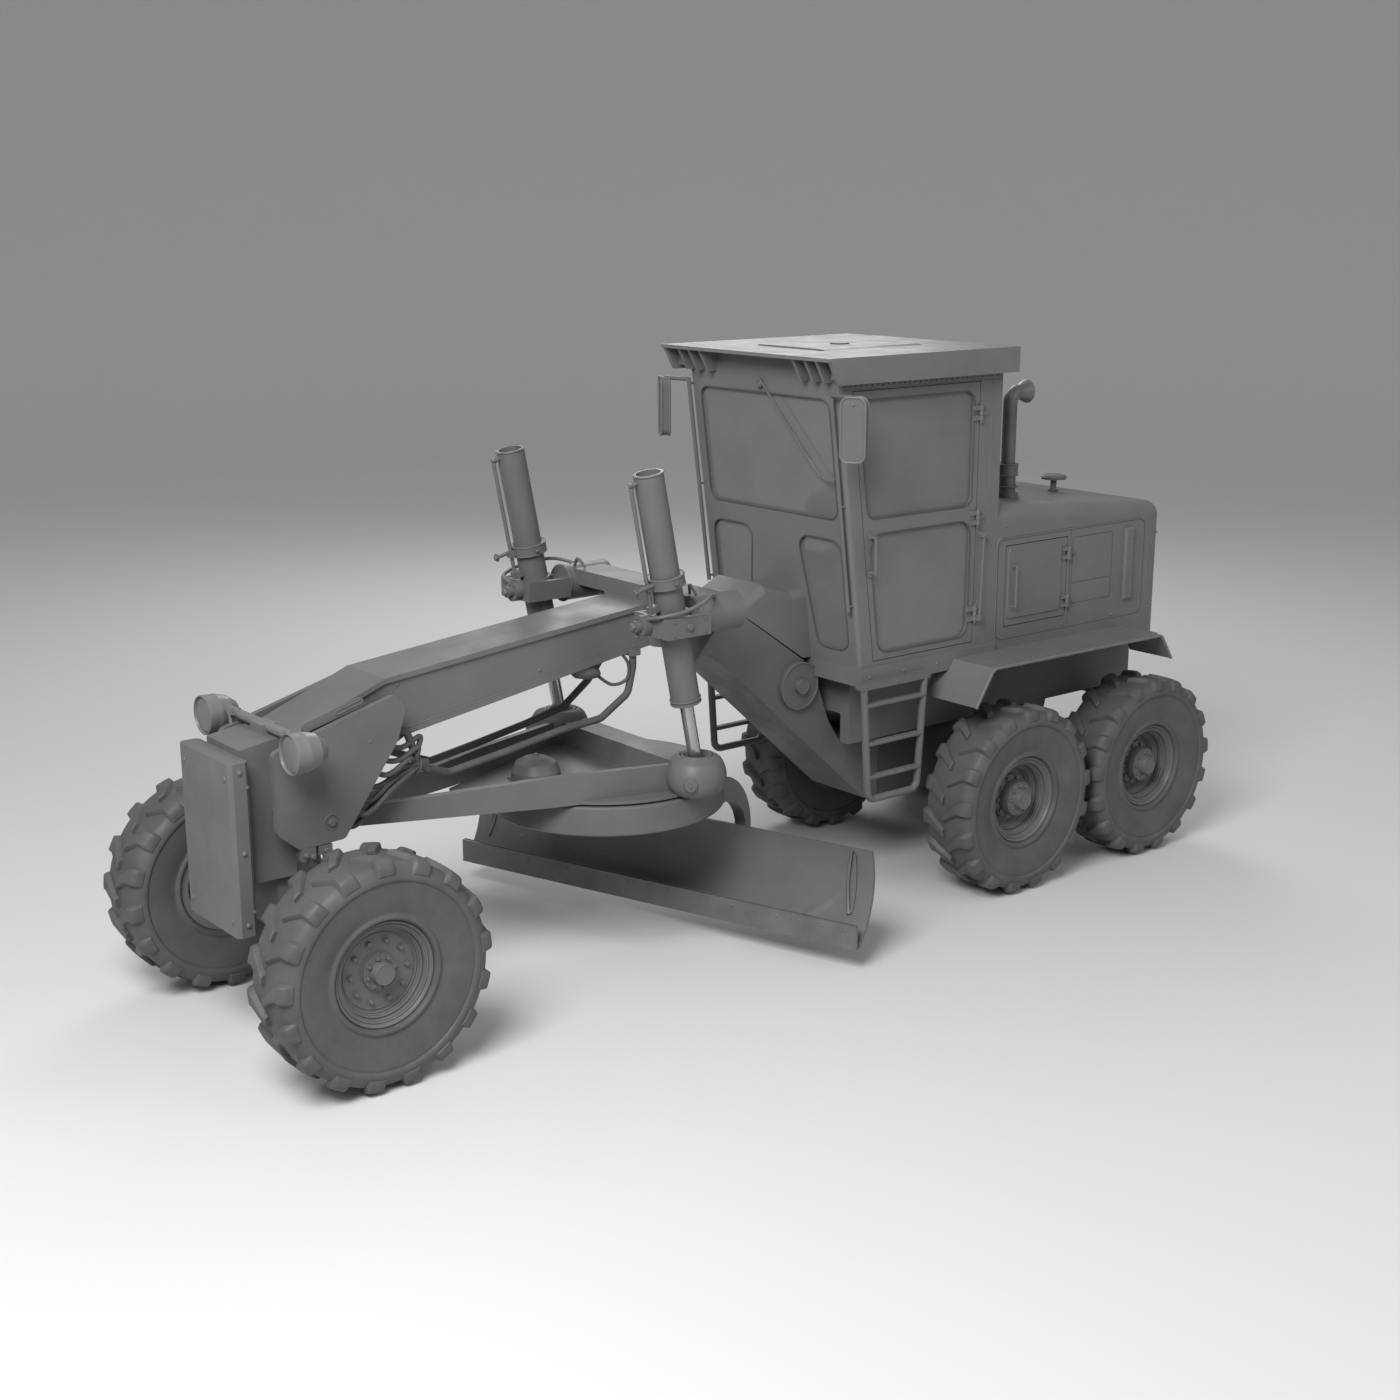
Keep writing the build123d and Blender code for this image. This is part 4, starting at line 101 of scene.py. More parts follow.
# The seat's cushions: rounding and cells of the block, its air, the steps of its swelling, a seam's reach
CUSHION_ROUNDING = 0.028
CUSHION_CELL = 0.008
AIR_PRESSURE = 4.0
AIR_STEPS = 20
SEAM_REACH = 0.009

WHEELS = [
    # name, side, centre X, centre Y, front wheel
    (f"{axle}_{hand}", side, x, y, axle == "front")
    for axle, x, y in (
        ("front", FRONT_WHEEL_X, FRONT_Y),
        ("mid", REAR_WHEEL_X, MID_Y),
        ("rear", REAR_WHEEL_X, REAR_Y),
    )
    for hand, side in (("left", 1), ("right", -1))
]


# Settings that a user may change


class GraderSizes(bpy.types.PropertyGroup):
    """Sizes of the pieces that dress the frame."""

    tyre_radius: bpy.props.FloatProperty(
        name="Tyre radius", description="Radius over the lugs", default=0.6295, unit="LENGTH"
    )
    lugs_per_side: bpy.props.IntProperty(
        name="Lugs per side", description="Number of lugs on each half of a tread", default=17, min=8, max=30
    )
    lug_slant: bpy.props.FloatProperty(
        name="Lug slant",
        description="How far a lug's inner end lies ahead of its shoulder, round the tyre",
        default=0.085,
        unit="LENGTH",
    )


class GraderColours(bpy.types.PropertyGroup):
    """Base colours of the finishes."""

    body: bpy.props.FloatVectorProperty(
        name="Body paint", description="Cab, hood and fenders", default=(0.148, 0.148, 0.146), subtype="COLOR"
    )
    frame: bpy.props.FloatVectorProperty(
        name="Frame paint",
        description="Beam, drawbar, circle and axles",
        default=(0.13, 0.13, 0.128),
        subtype="COLOR",
    )
    rubber: bpy.props.FloatVectorProperty(
        name="Rubber", description="Tyres and hoses", default=(0.088, 0.088, 0.088), subtype="COLOR"
    )


# Mesh helpers: a part is a pair of points, as rows, and faces, as rows of point numbers


def shade_smooth(mesh):
    """Turns smooth shading on for every face of a mesh."""
    mesh.polygons.foreach_set("use_smooth", np.full(len(mesh.polygons), True))


def new_object(name, data):
    """An object for a mesh, a camera or a lamp, linked to the scene."""
    made = bpy.data.objects.new(name, data)
    bpy.context.scene.collection.objects.link(made)
    return made


def make_piece(name, part, body, slot, replaces=(), turn_out=True):
    """An object of a part, riding on a body, with its slot's finish and its faces turned outwards."""
    mesh = bpy.data.meshes.new(name)
    mesh.from_pydata(np.asarray(part[0], float).tolist(), [], [[int(i) for i in face] for face in part[1]])
    if turn_out:
        shell = bmesh.new()
        shell.from_mesh(mesh)
        bmesh.ops.remove_doubles(shell, verts=shell.verts, dist=MERGE_DISTANCE)
        bmesh.ops.recalc_face_normals(shell, faces=shell.faces)
        shell.to_mesh(mesh)
        shell.free()
    shade_smooth(mesh)
    mesh.set_sharp_from_angle(angle=SHARP_ANGLE)
    mesh.materials.append(finishes()[slot])
    piece = new_object(name, mesh)
    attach(piece, body)
    if replaces:
        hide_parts(*replaces)
    return piece


def grid_faces(rows, columns, close_rows=False, close_columns=False):
    """Quads between neighbouring points of a grid, whose points run along each row in turn."""
    row = np.arange(rows if close_rows else rows - 1)
    column = np.arange(columns if close_columns else columns - 1)
    r, c = np.meshgrid(row, column, indexing="ij")
    r, c = r.ravel(), c.ravel()
    r2, c2 = (r + 1) % rows, (c + 1) % columns
    return np.stack([r * columns + c, r * columns + c2, r2 * columns + c2, r2 * columns + c], axis=1)


def rows_of(*values):
    """Points, as rows, from values along each axis; a single number or a row is spread over the rest."""
    return np.stack(np.broadcast_arrays(*values), axis=-1)


def spun(profile, count, closed=False):
    """A profile of (along X, radius) rows turned about the X axis: point = (x, r cos a, r sin a)."""
    x, radius = np.asarray(profile, float).T
    angle = np.linspace(0, 2 * np.pi, count, endpoint=False)[:, None]
    points = rows_of(x, radius * np.cos(angle), radius * np.sin(angle)).reshape(-1, 3)
    return points, grid_faces(count, len(x), close_rows=True, close_columns=closed)


def turned_to(vertices, direction):
    """Points drawn along +X, turned so that +X lies on a direction."""
    x_axis = np.asarray(direction, float) / np.linalg.norm(direction)
    other = UP if abs(x_axis[2]) < 0.9 else BACK
    y_axis = np.cross(other, x_axis)
    y_axis /= np.linalg.norm(y_axis)
    return vertices @ np.stack([x_axis, y_axis, np.cross(x_axis, y_axis)])


def turned_piece(profile, place, direction, count=28, closed=False):
    """A profile of (along, radius) rows turned about a direction at a place."""
    vertices, faces = spun(profile, count, closed)
    return turned_to(vertices, direction) + place, faces


def bead(place, radius, thickness, direction=UP, count=36):
    """A round bead bent into a ring about a direction: a small circle spun at a radius."""
    angle = np.arange(8) * np.pi / 4
    circle = rows_of(thickness * np.cos(angle), radius + thickness * np.sin(angle))
    return turned_piece(circle, place, direction, count, closed=True)


def around(place, radius, count, direction=UP, start=0.0):
    """Places on a circle about a direction."""
    angle = start + np.arange(count) * 2 * np.pi / count
    return turned_to(rows_of(0, radius * np.cos(angle), radius * np.sin(angle)), direction) + place


def joined(parts):
    """Several parts as one."""
    points, faces, start = [], [], 0
    for vertices, own in parts:
        points.append(vertices)
        faces += [[int(i) + start for i in face] for face in own]
        start += len(vertices)
    return np.concatenate(points), faces


def copies(shape, places, direction):
    """One small part copied to every place, all pointing the same way: point = place + turned point."""
    turned = turned_to(shape[0], direction)
    return joined([(turned + place, shape[1]) for place in np.asarray(places, float).reshape(-1, 3)])


def dome(radius, height, rows):
    """A dome's profile: height cos b along its axis and radius sin b across, for b from 90 degrees to 0."""
    b = np.linspace(np.pi / 2, 0.0, rows)
    return rows_of(height * np.cos(b), radius * np.sin(b))


def bolts(places, direction, radius=0.011, height=0.011):
    """Hexagon heads with a turned-off edge on round washers, at places, all pointing one way."""
    washer = [(-0.001, 1.45 * radius), (0.16 * height, 1.45 * radius), (0.16 * height, 0)]
    head = [(0, radius), (0.82 * height, radius), (height, 0.84 * radius), (height, 0)]
    return copies(joined([spun(washer, 18), spun(head, 6)]), places, direction)


def studs(places, direction, radius=0.01, height=0.007):
    """Domed bolt or rivet heads at places, all pointing one way."""
    return copies(spun(dome(radius, height, 5), 12), places, direction)


def oblong(left, right, low, high):
    """The four corners of a rectangle, in order round it."""
    return [(left, low), (right, low), (right, high), (left, high)]


def slab(low, high):
    """A box between two corners."""
    low, high = np.asarray(low, float), np.asarray(high, float)
    corner = np.array([(x, y, z) for z in (0, 1) for x, y in oblong(0, 1, 0, 1)])
    faces = [(0, 3, 2, 1), (4, 5, 6, 7), (0, 1, 5, 4), (1, 2, 6, 5), (2, 3, 7, 6), (3, 0, 4, 7)]
    return low + corner * (high - low), faces


def mirrored(part):
    """The same part on the other side of the machine, its faces turned to point outwards again."""
    return part[0] * (-1, 1, 1), [face[::-1] for face in part[1]]


def both_sides(parts):
    """Parts and their mirror images across the middle of the machine."""
    return list(parts) + [mirrored(part) for part in parts]


def smooth_path(points, steps=8):
    """A Catmull-Rom curve through points a, b, c, d.

    It runs from b to c as half of 2b + (c - a) t + (2a - 5b + 4c - d) t^2 + (3b - a - 3c + d) t^3.
    """
    points = np.asarray(points, float)
    ends = np.concatenate([[2 * points[0] - points[1]], points, [2 * points[-1] - points[-2]]])
    a, b, c, d = (ends[i:len(ends) - 3 + i, None] for i in range(4))
    t = np.linspace(0, 1, steps, endpoint=False)[None, :, None]
    curve = 0.5 * (2 * b + (c - a) * t + (2 * a - 5 * b + 4 * c - d) * t**2 + (3 * b - a - 3 * c + d) * t**3)
    return np.concatenate([curve.reshape(-1, points.shape[1]), points[-1:]])


def corners_rounded(points, radius, closed=True, steps=7):
    """A run of points with each corner swapped for an arc that touches both of its sides."""
    points = np.asarray(points, float)
    count = len(points)
    out = []
    for i in range(count):
        if not closed and i in (0, count - 1):
            out.append(points[i][None])
            continue
        before, here, after = points[i - 1], points[i], points[(i + 1) % count]
        u = (before - here) / np.linalg.norm(before - here)
        v = (after - here) / np.linalg.norm(after - here)
        half = np.arccos(np.clip(u @ v, -1, 1)) / 2
        back = radius / np.tan(half)
        centre = here + (u + v) / np.linalg.norm(u + v) * radius / np.sin(half)
        start, end = here + u * back - centre, here + v * back - centre
        whole = np.arccos(np.clip(start @ end / radius**2, -1, 1))
        share = np.linspace(0, 1, steps)[:, None]
        arc = (np.sin((1 - share) * whole) * start + np.sin(share * whole) * end) / np.sin(whole)
        out.append(centre + arc)
    return np.concatenate(out)


def tube(path, radius, sides=10, up=LEFT, closed=False):
    """A round tube along a path: point = path + radius (cos a times side + sin a times normal).

    The side direction is the path's direction crossed with a fixed up direction, so the tube never twists.
    """
    path = np.asarray(path, float)
    if closed:
        ahead = np.roll(path, -1, axis=0) - path
        along = ahead + np.roll(ahead, 1, axis=0)
    else:
        along = np.gradient(path, axis=0)
    along /= np.linalg.norm(along, axis=1)[:, None]
    side = np.cross(along, up)
    side /= np.linalg.norm(side, axis=1)[:, None]
    normal = np.cross(side, along)
    angle = (np.arange(sides) * 2 * np.pi / sides)[:, None]
    points = path[:, None] + radius * (np.cos(angle) * side[:, None] + np.sin(angle) * normal[:, None])
    faces = grid_faces(len(path), sides, close_rows=closed, close_columns=True).tolist()
    if not closed:
        last = (len(path) - 1) * sides
        faces += [range(sides)[::-1], range(last, last + sides)]
    return points.reshape(-1, 3), faces


def pipe(points, radius, sides=10, up=LEFT, steps=8):
    """A round tube that curves smoothly through points."""
    return tube(smooth_path(points, steps), radius, sides, up)


def seal(corners, radius, thickness, up):
    """A round seal or frame bead on a rounded outline."""
    return tube(corners_rounded(corners, radius), thickness, 8, up, closed=True)


def fitting(name, parts, body, slot, origin=(0, 0, 0)):
    """Small parts drawn from an origin, as one piece on a body with the finish of a slot."""
    vertices, faces = joined(parts)
    return make_piece(name, (vertices + origin, faces), body, slot)


def fitting_pair(name, parts, body, slot, origin):
    """A fitting on the left one of two bodies and its mirror image on the right one."""
    fitting(f"{name}_left", parts, f"{body}_left", slot, origin)
    fitting(f"{name}_right", [mirrored(part) for part in parts], f"{body}_right", slot, origin)


# Finishes


def node_finish(name):
    """A new node material with its shader and Object coordinates to hand."""
    material = bpy.data.materials.new(f"{name}_finish")
    material.use_nodes = True
    tree = material.node_tree
    shader = next(node for node in tree.nodes if node.type == "BSDF_PRINCIPLED")
    coordinates = tree.nodes.new("ShaderNodeTexCoord")
    return material, tree, shader, coordinates.outputs["Object"]


def noise(tree, place, scale, detail, roughness=0.55):
    """A noise texture on a place; returns its factor socket."""
    node = tree.nodes.new("ShaderNodeTexNoise")
    node.inputs["Scale"].default_value = scale
    node.inputs["Detail"].default_value = detail
    node.inputs["Roughness"].default_value = roughness
    tree.links.new(place, node.inputs["Vector"])
    return node.outputs["Fac"]


def ramped(tree, factor, socket, *stops):
    """Feeds a shader's socket through a colour ramp on a factor; stops are (position, (r, g, b)) rows."""
    node = tree.nodes.new("ShaderNodeValToRGB")
    elements = node.color_ramp.elements
    while len(elements) < len(stops):
        elements.new(0.5)
    for element, (position, colour) in zip(elements, stops):
        element.position = position
        element.color = (*colour, 1)
    tree.links.new(factor, node.inputs["Fac"])
    tree.links.new(node.outputs["Color"], socket)


def bump(tree, shader, height, strength, distance):
    """Small relief on a shader from a height socket."""
    node = tree.nodes.new("ShaderNodeBump")
    node.inputs["Strength"].default_value = strength
    node.inputs["Distance"].default_value = distance
    tree.links.new(height, node.inputs["Height"])
    tree.links.new(node.outputs["Normal"], shader.inputs["Normal"])


def grey(value):
    """One value in all three channels."""
    return (value,) * 3


def shade(colour, factor):
    """A colour made lighter or darker by a factor."""
    return tuple(min(1.0, channel * factor) for channel in colour)


def paint(name, colour, rough, dust_shade_and_reflection=0.1, grain=0.15):
    """Sprayed paint on plate: broad mottling that is partly dust and partly painted patches of shadow and
    reflection, clouded gloss and orange-peel relief.
    """
    material, tree, shader, place = node_finish(name)
    shader.inputs["Specular IOR Level"].default_value = 0.25
    # the base colour's darker and lighter patches are dust and also painted splotchy shadow and reflection;
    # the setting after rough sets how far they spread
    ramped(tree, noise(tree, place, 1.6, 6.0, 0.62), shader.inputs["Base Color"],
           (0.3, shade(colour, 1 - dust_shade_and_reflection)), (0.52, colour), (0.75, shade(colour, 1 + dust_shade_and_reflection)))
    ramped(tree, noise(tree, place, 4.5, 5.0), shader.inputs["Roughness"],
           (0.3, grey(rough - 0.08)), (0.7, grey(rough + 0.14)))
    bump(tree, shader, noise(tree, place, 180.0, 2.0), grain, 0.0006)
    return material


def plain_metal(name, colour, rough, metallic, grain=0.2):
    """Bare or plated metal with a fine grain and clouded gloss."""
    material, tree, shader, place = node_finish(name)
    shader.inputs["Metallic"].default_value = metallic
    ramped(tree, noise(tree, place, 7.0, 6.0), shader.inputs["Base Color"],
           (0.3, shade(colour, 0.82)), (0.7, shade(colour, 1.12)))
    ramped(tree, noise(tree, place, 14.0, 5.0), shader.inputs["Roughness"],
           (0.3, grey(rough * 0.75)), (0.7, grey(rough * 1.3)))
    bump(tree, shader, noise(tree, place, 60.0, 3.0), grain, 0.0005)
    return material


def rubber(name, colour):
    """Moulded rubber: dust in its hollows and a fine cast grain."""
    material, tree, shader, place = node_finish(name)
    shader.inputs["Specular IOR Level"].default_value = 0.3
    ramped(tree, noise(tree, place, 5.0, 7.0, 0.65), shader.inputs["Base Color"],
           (0.32, shade(colour, 0.84)), (0.7, shade(colour, 1.16)))
    ramped(tree, noise(tree, place, 9.0, 5.0), shader.inputs["Roughness"],
           (0.3, grey(0.46)), (0.7, grey(0.66)))
    bump(tree, shader, noise(tree, place, 120.0, 4.0), 0.3, 0.001)
    return material


def leather(name, colour):
    """Grained seat leather: small creased cells under a clouded tone."""
    material, tree, shader, place = node_finish(name)
    ramped(tree, noise(tree, place, 9.0, 5.0), shader.inputs["Base Color"],
           (0.3, shade(colour, 0.8)), (0.7, shade(colour, 1.2)))
    shader.inputs["Roughness"].default_value = 0.48
    cells = tree.nodes.new("ShaderNodeTexVoronoi")
    cells.inputs["Scale"].default_value = 260.0
    tree.links.new(place, cells.inputs["Vector"])
    bump(tree, shader, cells.outputs["Distance"], 0.35, 0.0008)
    return material


def smoked_glass(name, colour):
    """Tinted cab glass: a grey sheet that shows the inside only faintly, with a clean gloss."""
    material, tree, shader, place = node_finish(name)
    ramped(tree, noise(tree, place, 2.2, 5.0), shader.inputs["Base Color"],
           (0.3, shade(colour, 0.9)), (0.7, shade(colour, 1.08)))
    shader.inputs["Roughness"].default_value = 0.12
    shader.inputs["Alpha"].default_value = 0.85
    shader.inputs["Coat Weight"].default_value = 0.4
    return material


MADE = {}


def finishes():
    """Every finish of the machine by the record's slot name, made once."""
    if MADE:
        return MADE
    colours = bpy.context.scene.grader_colours
    body, steel, tyre = tuple(colours.body), tuple(colours.frame), tuple(colours.rubber)
    rows = {
        # slot: maker, colour and the maker's other settings
        # paint's settings are roughness, then the spread of its dust and painted shadow and reflection
        # patches, then grain
        "body_paint": (paint, body, 0.37),
        "frame_paint": (paint, steel, 0.4, 0.14, 0.22),
        "rim_paint": (paint, steel, 0.4, 0.16),
        "dark_metal": (paint, shade(steel, 0.7), 0.6, 0.2, 0.4),
        "bare_steel": (plain_metal, (0.155, 0.155, 0.156), 0.42, 0.3),
        "rod_chrome": (plain_metal, (0.42, 0.42, 0.425), 0.16, 0.85, 0.02),
        "stack_metal": (plain_metal, grey(0.15), 0.42, 0.3),
        "tyre": (rubber, tyre),
        "hose_rubber": (rubber, shade(tyre, 0.9)),
        "seat_cover": (leather, (0.05, 0.05, 0.052)),
        "console_plastic": (paint, (0.07, 0.07, 0.072), 0.5, 0.1, 0.5),
        "lamp_shell": (paint, shade(body, 1.05), 0.3),
        "window_glass": (smoked_glass, (0.168, 0.168, 0.17)),
    }
    for slot, (maker, *settings) in rows.items():
        MADE[slot] = maker(slot, *settings)
    return MADE


# Tyres and rims

# Half of the casing's section, as (along X, radius) rows from the bead to the middle of the tread
TYRE_HALF = np.array([
    (0.108, 0.2605), (0.124, 0.2875), (0.142, 0.2925), (0.151, 0.296), (0.1565, 0.302), (0.158, 0.31),
    (0.1555, 0.318), (0.15, 0.324), (0.1475, 0.329), (0.1495, 0.339), (0.1575, 0.36), (0.1675, 0.39),
    (0.1755, 0.425), (0.1815, 0.46), (0.185, 0.488), (0.1855, 0.499), (0.1845, 0.504), (0.1895, 0.5075),
    (0.1945, 0.513), (0.197, 0.52), (0.197, 0.53), (0.194, 0.542), (0.187, 0.558), (0.172, 0.582),
    (0.152, 0.594), (0.11, 0.599), (0.05, 0.601), (0.0, 0.6015),
])
TREAD_RADIUS = 0.6
TYRE_SIDES = 144
RIM_SIDES = 72


def lug_grid(radius, slant):
    """One lug as a grid: along it (w) from the middle to the sidewall, across it (t) from foot to foot.

    The point is base(w) + f(t) g(w) (top(w) - base(w)), and it lies c(w) + t h(w) s round the tyre, where f
    and g fall to nothing at the lug's edges, c is the slanting middle line, h the half width, and s the
    widening of the foot.
    """
    w = np.array([0.0, 0.0, 0.03, 0.12, 0.25, 0.38, 0.5, 0.6, 0.7, 0.8, 0.88, 0.95, 1.0, 1.0])
    g = np.array([0.0, 0.8, *[1.0] * 10, 0.8, 0.0])[:, None]
    t = np.array([-1.0, -0.9, -0.8, -0.4, 0.0, 0.4, 0.8, 0.9, 1.0])
    f = np.array([0.0, 0.86, *[1.0] * 5, 0.86, 0.0])
    stations = np.array([0.0, 0.3, 0.55, 0.72, 0.82, 0.9, 0.96, 1.0])

    def along(values):
        return np.interp(w, stations, values)[:, None]

    top_x = along([0.004, 0.07, 0.12, 0.154, 0.18, 0.194, 0.199, 0.1995])
    top_r = along(np.array([0.0, 0.0, -0.001, -0.004, -0.012, -0.03, -0.056, -0.076]) + radius)
    base_x = along([0.004, 0.07, 0.118, 0.146, 0.166, 0.178, 0.186, 0.189])
    base_r = along([0.599, 0.599, 0.596, 0.59, 0.58, 0.566, 0.552, 0.544])
    slant_end, slant_power, foot_spread = 0.62, 1.15, 0.24
    middle = slant * np.clip((slant_end - w) / slant_end, 0, 1)[:, None] ** slant_power
    half = np.interp(w, [0, 0.5, 0.75, 1.0], [0.024, 0.036, 0.048, 0.05])[:, None]
    lift = g * f
    spread = 1 + foot_spread * (1 - lift)
    angle = (middle + t * half * spread) / TREAD_RADIUS
    return base_x + lift * (top_x - base_x), base_r + lift * (top_r - base_r), angle


def build_tyre(name, side, centre_x, centre_y):
    """A whole tyre: the casing spun about its axle, and lugs copied round it on both halves of the tread."""
    sizes = bpy.context.scene.grader_sizes
    casing, casing_faces = spun(np.concatenate([TYRE_HALF * (-1, 1), TYRE_HALF[-2::-1]]), TYRE_SIDES)
    x, r, angle = lug_grid(sizes.tyre_radius, sizes.lug_slant)
    count = sizes.lugs_per_side
    step = np.arange(count) * 2 * np.pi / count
    a = np.concatenate([step, step + np.pi / count])[:, None, None] + angle
    flip = np.repeat([1.0, -1.0], count)[:, None, None]
    lugs = rows_of(flip * x, -r * np.sin(a), r * np.cos(a)).reshape(-1, 3)
    quads = grid_faces(*x.shape)
    blocks = [(quads[:, ::-1] if i < count else quads) + i * x.size + len(casing) for i in range(2 * count)]
    vertices = np.concatenate([casing, lugs]) * (side, 1, 1) + (side * centre_x, centre_y, AXLE_Z)
    faces = np.concatenate([casing_faces, *blocks])
    if side > 0:
        faces = faces[:, ::-1]
    return make_piece(
        f"tyre_mesh_{name}", (vertices, faces), f"wheel_{name}", "tyre", [f"tyre_{name}"], turn_out=False
    )


def rim_parts(front):
    """Fittings of a rim about the X axis: round beads on its steps, wheel bolts and hub bolts."""
    # along X, radius and thickness of each bead
    beads = [
        (0.1315, 0.28, 0.005), (0.117, 0.26, 0.006), (0.1125, 0.249, 0.004), (0.0885, 0.24, 0.006),
    ]
    if front:
        beads += [
            (0.074, 0.23, 0.005), (0.058, 0.226, 0.006), (0.0585, 0.205, 0.0035), (0.06, 0.098, 0.005),
            (0.0835, 0.095, 0.003), (0.131, 0.053, 0.004),
        ]
        # along X, circle's radius, count, start angle, head radius and height of the wheel and hub bolts
        rings = ((0.0575, 0.165, 10, 0.0, 0.014, 0.019), (0.0835, 0.079, 8, 0.2, 0.0105, 0.015))
    else:
        beads += [
            (0.07, 0.23, 0.0055), (0.05, 0.23, 0.0055), (0.0385, 0.22, 0.005), (0.018, 0.204, 0.0055),
            (-0.004, 0.189, 0.005), (0.019, 0.1475, 0.0035), (0.1, 0.111, 0.004), (0.1075, 0.068, 0.003),
            (0.1475, 0.057, 0.004),
        ]
        rings = ((0.0215, 0.134, 10, 0.0, 0.014, 0.02), (0.102, 0.09, 9, 0.3, 0.011, 0.014))
    parts = [bolts(around((x, 0, 0), circle, count, LEFT, start), LEFT, radius, height)
             for x, circle, count, start, radius, height in rings]
    return parts + [bead((x, 0, 0), radius, thickness, LEFT, RIM_SIDES) for x, radius, thickness in beads]


# Nose and beam, drawn from the front axle


def push_block_parts():
    """Corner bolts on the face and on the sides of the nose's push block."""
    corners = [(x, -0.445, z) for x in (-0.24, 0.24) for z in (0.79, 1.57)]
    sides = [(0.2995, -0.385, z) for z in (0.77, 1.165, 1.605)]
    rear = [(0.2995, -0.35, z) for z in (0.84, 1.52)]
    left = [studs(sides, LEFT, 0.015, 0.011), bolts(rear, LEFT, 0.009, 0.009)]
    return [studs(corners, AHEAD, 0.019, 0.01), *both_sides(left)]


def slotted_bar():
    """The flat bar with a rounded end and two slots that shows between the beam and the left side plate."""
    along = np.array([0.0, 0.735, 0.2])
    along /= np.linalg.norm(along)
    across = np.cross(LEFT, along)
    turn = np.linspace(-np.pi / 2, np.pi / 2, 9)
    start, thickness = (0.262, 0.02, 1.772), (0.01, 0, 0)
    length, half_width, slot_length, slot_half_width = 0.33, 0.026, 0.07, 0.011

    def stadium(first, last, radius):
        """An outline with round ends about two places along the bar."""
        reach, rise = radius * np.cos(turn), radius * np.sin(turn)
        flat = np.concatenate([rows_of(last + reach, rise), rows_of(first - reach, -rise)])
        return start + flat[:, :1] * along + flat[:, 1:] * across

    outer = stadium(0.0, length, half_width)
    count = len(outer)
    faces = [range(count)[::-1], range(count, 2 * count), *grid_faces(2, count, close_columns=True)[:, ::-1]]
    slots = [stadium(first, first + slot_length, slot_half_width) + thickness for first in (0.19, 0.26)]
    rims = [tube(slot, 0.0035, 8, closed=True) for slot in slots]
    return [(np.concatenate([outer, outer + thickness]), faces), *rims]


def nose_parts():
    """Bolts of the side plates, the valve block with its ports, and the elbows by the lamp brackets."""
    left = [
        bolts((PLATE_X, 0.11, 1.246), LEFT, 0.024, 0.018),
        bead((0.325, 0.11, 1.246), 0.041, 0.005, LEFT, 32),
        studs((PLATE_X, 0.365, 1.644), LEFT, 0.008, 0.004),
        slab((0.285, -0.07, 1.06), (0.33, 0.01, 1.128)),
        slab((0.29, 0.03, 1.078), (0.325, 0.11, 1.128)),
        bolts([(0.3295, -0.05, 1.095), (0.3295, -0.012, 1.082), (PLATE_X, 0.07, 1.1)], LEFT, 0.013, 0.02),
        bolts([(0.305, -0.03, 1.061), (0.305, 0.07, 1.079)], DOWN, 0.012, 0.022),
        pipe([(0.395, -0.11, 1.752), (0.345, -0.12, 1.735), (0.3, -0.135, 1.69), (0.285, -0.145, 1.64)],
             0.011, 12, BACK),
        bolts((0.3, -0.1, 1.752), UP, 0.026, 0.03),
    ]
    return both_sides(left) + slotted_bar()


def lamp_rims():
    """The rim of each head lamp, standing ahead of its lens."""
    rim = [(-0.03, 0.1085), (0.0, 0.1115), (0.016, 0.11), (0.018, 0.105), (0.012, 0.101), (-0.006, 0.0985)]
    return both_sides([turned_piece(rim, LAMP, AHEAD, 48)])


def lamp_lenses():
    """The domed lens of each head lamp."""
    return both_sides([turned_piece(dome(0.099, 0.013, 9) + (0.002, 0), LAMP, AHEAD, 40)])


def nose_hoses():
    """Small hoses that leave the side plate's rear edge in loops and gather in a clip by the beam's hoses."""
    clip = bead((0.222, 0.705, 1.425), 0.045, 0.006, (0, 1, -0.35), 24)
    count, top, pitch = 7, 1.585, 0.066
    foot_y, foot_z, slope = 0.19, 1.138, 0.7084
    parts = [clip]
    for k in range(count):
        z = top - pitch * k
        edge = foot_y + (z - foot_z) * slope
        x = 0.232 + 0.017 * (k % 3)
        reach = edge + 0.115 + 0.02 * (k % 2)
        parts.append(pipe([
            (x, edge - 0.11, z + 0.03),
            (x, edge - 0.03, z + 0.02),
            (x + 0.01, edge + 0.05, z - 0.022),
            (x + 0.004, reach, z - 0.03 + 0.006 * k),
            (x - 0.008, reach + 0.11, z + 0.004 + 0.014 * k),
            (0.222 + 0.006 * (k % 2), 0.7, 1.404 + 0.011 * (count - 1 - k)),
            (0.212, 0.78, 1.386 + 0.008 * (count - 1 - k)),
        ], HOSE, 12, steps=9))
    return both_sides(parts)


def beam_parts():
    """Weld beads under the beam's flanges, a few studs on its webs and the round tongue under it."""
    tongue = [(0, 0), (0, 0.052), (0.022, 0.06), (0.09, 0.052), (0.15, 0.028), (0.166, 0.01), (0.168, 0)]
    return both_sides([
        tube([(BEAM_X, 0.0, 1.701), (BEAM_X, 0.535, 1.911), (BEAM_X, 2.344, 2.098)], WELD, 8),
        tube([(BEAM_X, 0.25, 1.419), (BEAM_X, 0.65, 1.64), (BEAM_X, 2.344, 1.904)], WELD, 8),
        studs([(0.1875, y, z) for y, z in ((0.62, 1.895), (1.56, 1.835), (2.264, 1.93))], LEFT, 0.011, 0.007),
        turned_piece(tongue, (0.12, 1.854, 1.792), (0.25, 0.85, -0.3)),
    ])


def beam_loop():
    """The small hose that loops from the beam's tongue back to its underside, drawn from the middle axle."""
    route = [(0.15, -2.8, 1.735), (0.175, -2.7, 1.665), (0.2, -2.61, 1.69), (0.205, -2.6, 1.78),
             (0.18, -2.64, 1.856)]
    return both_sides([pipe(route, 0.01)])


# Lift gear, drawbar and blade


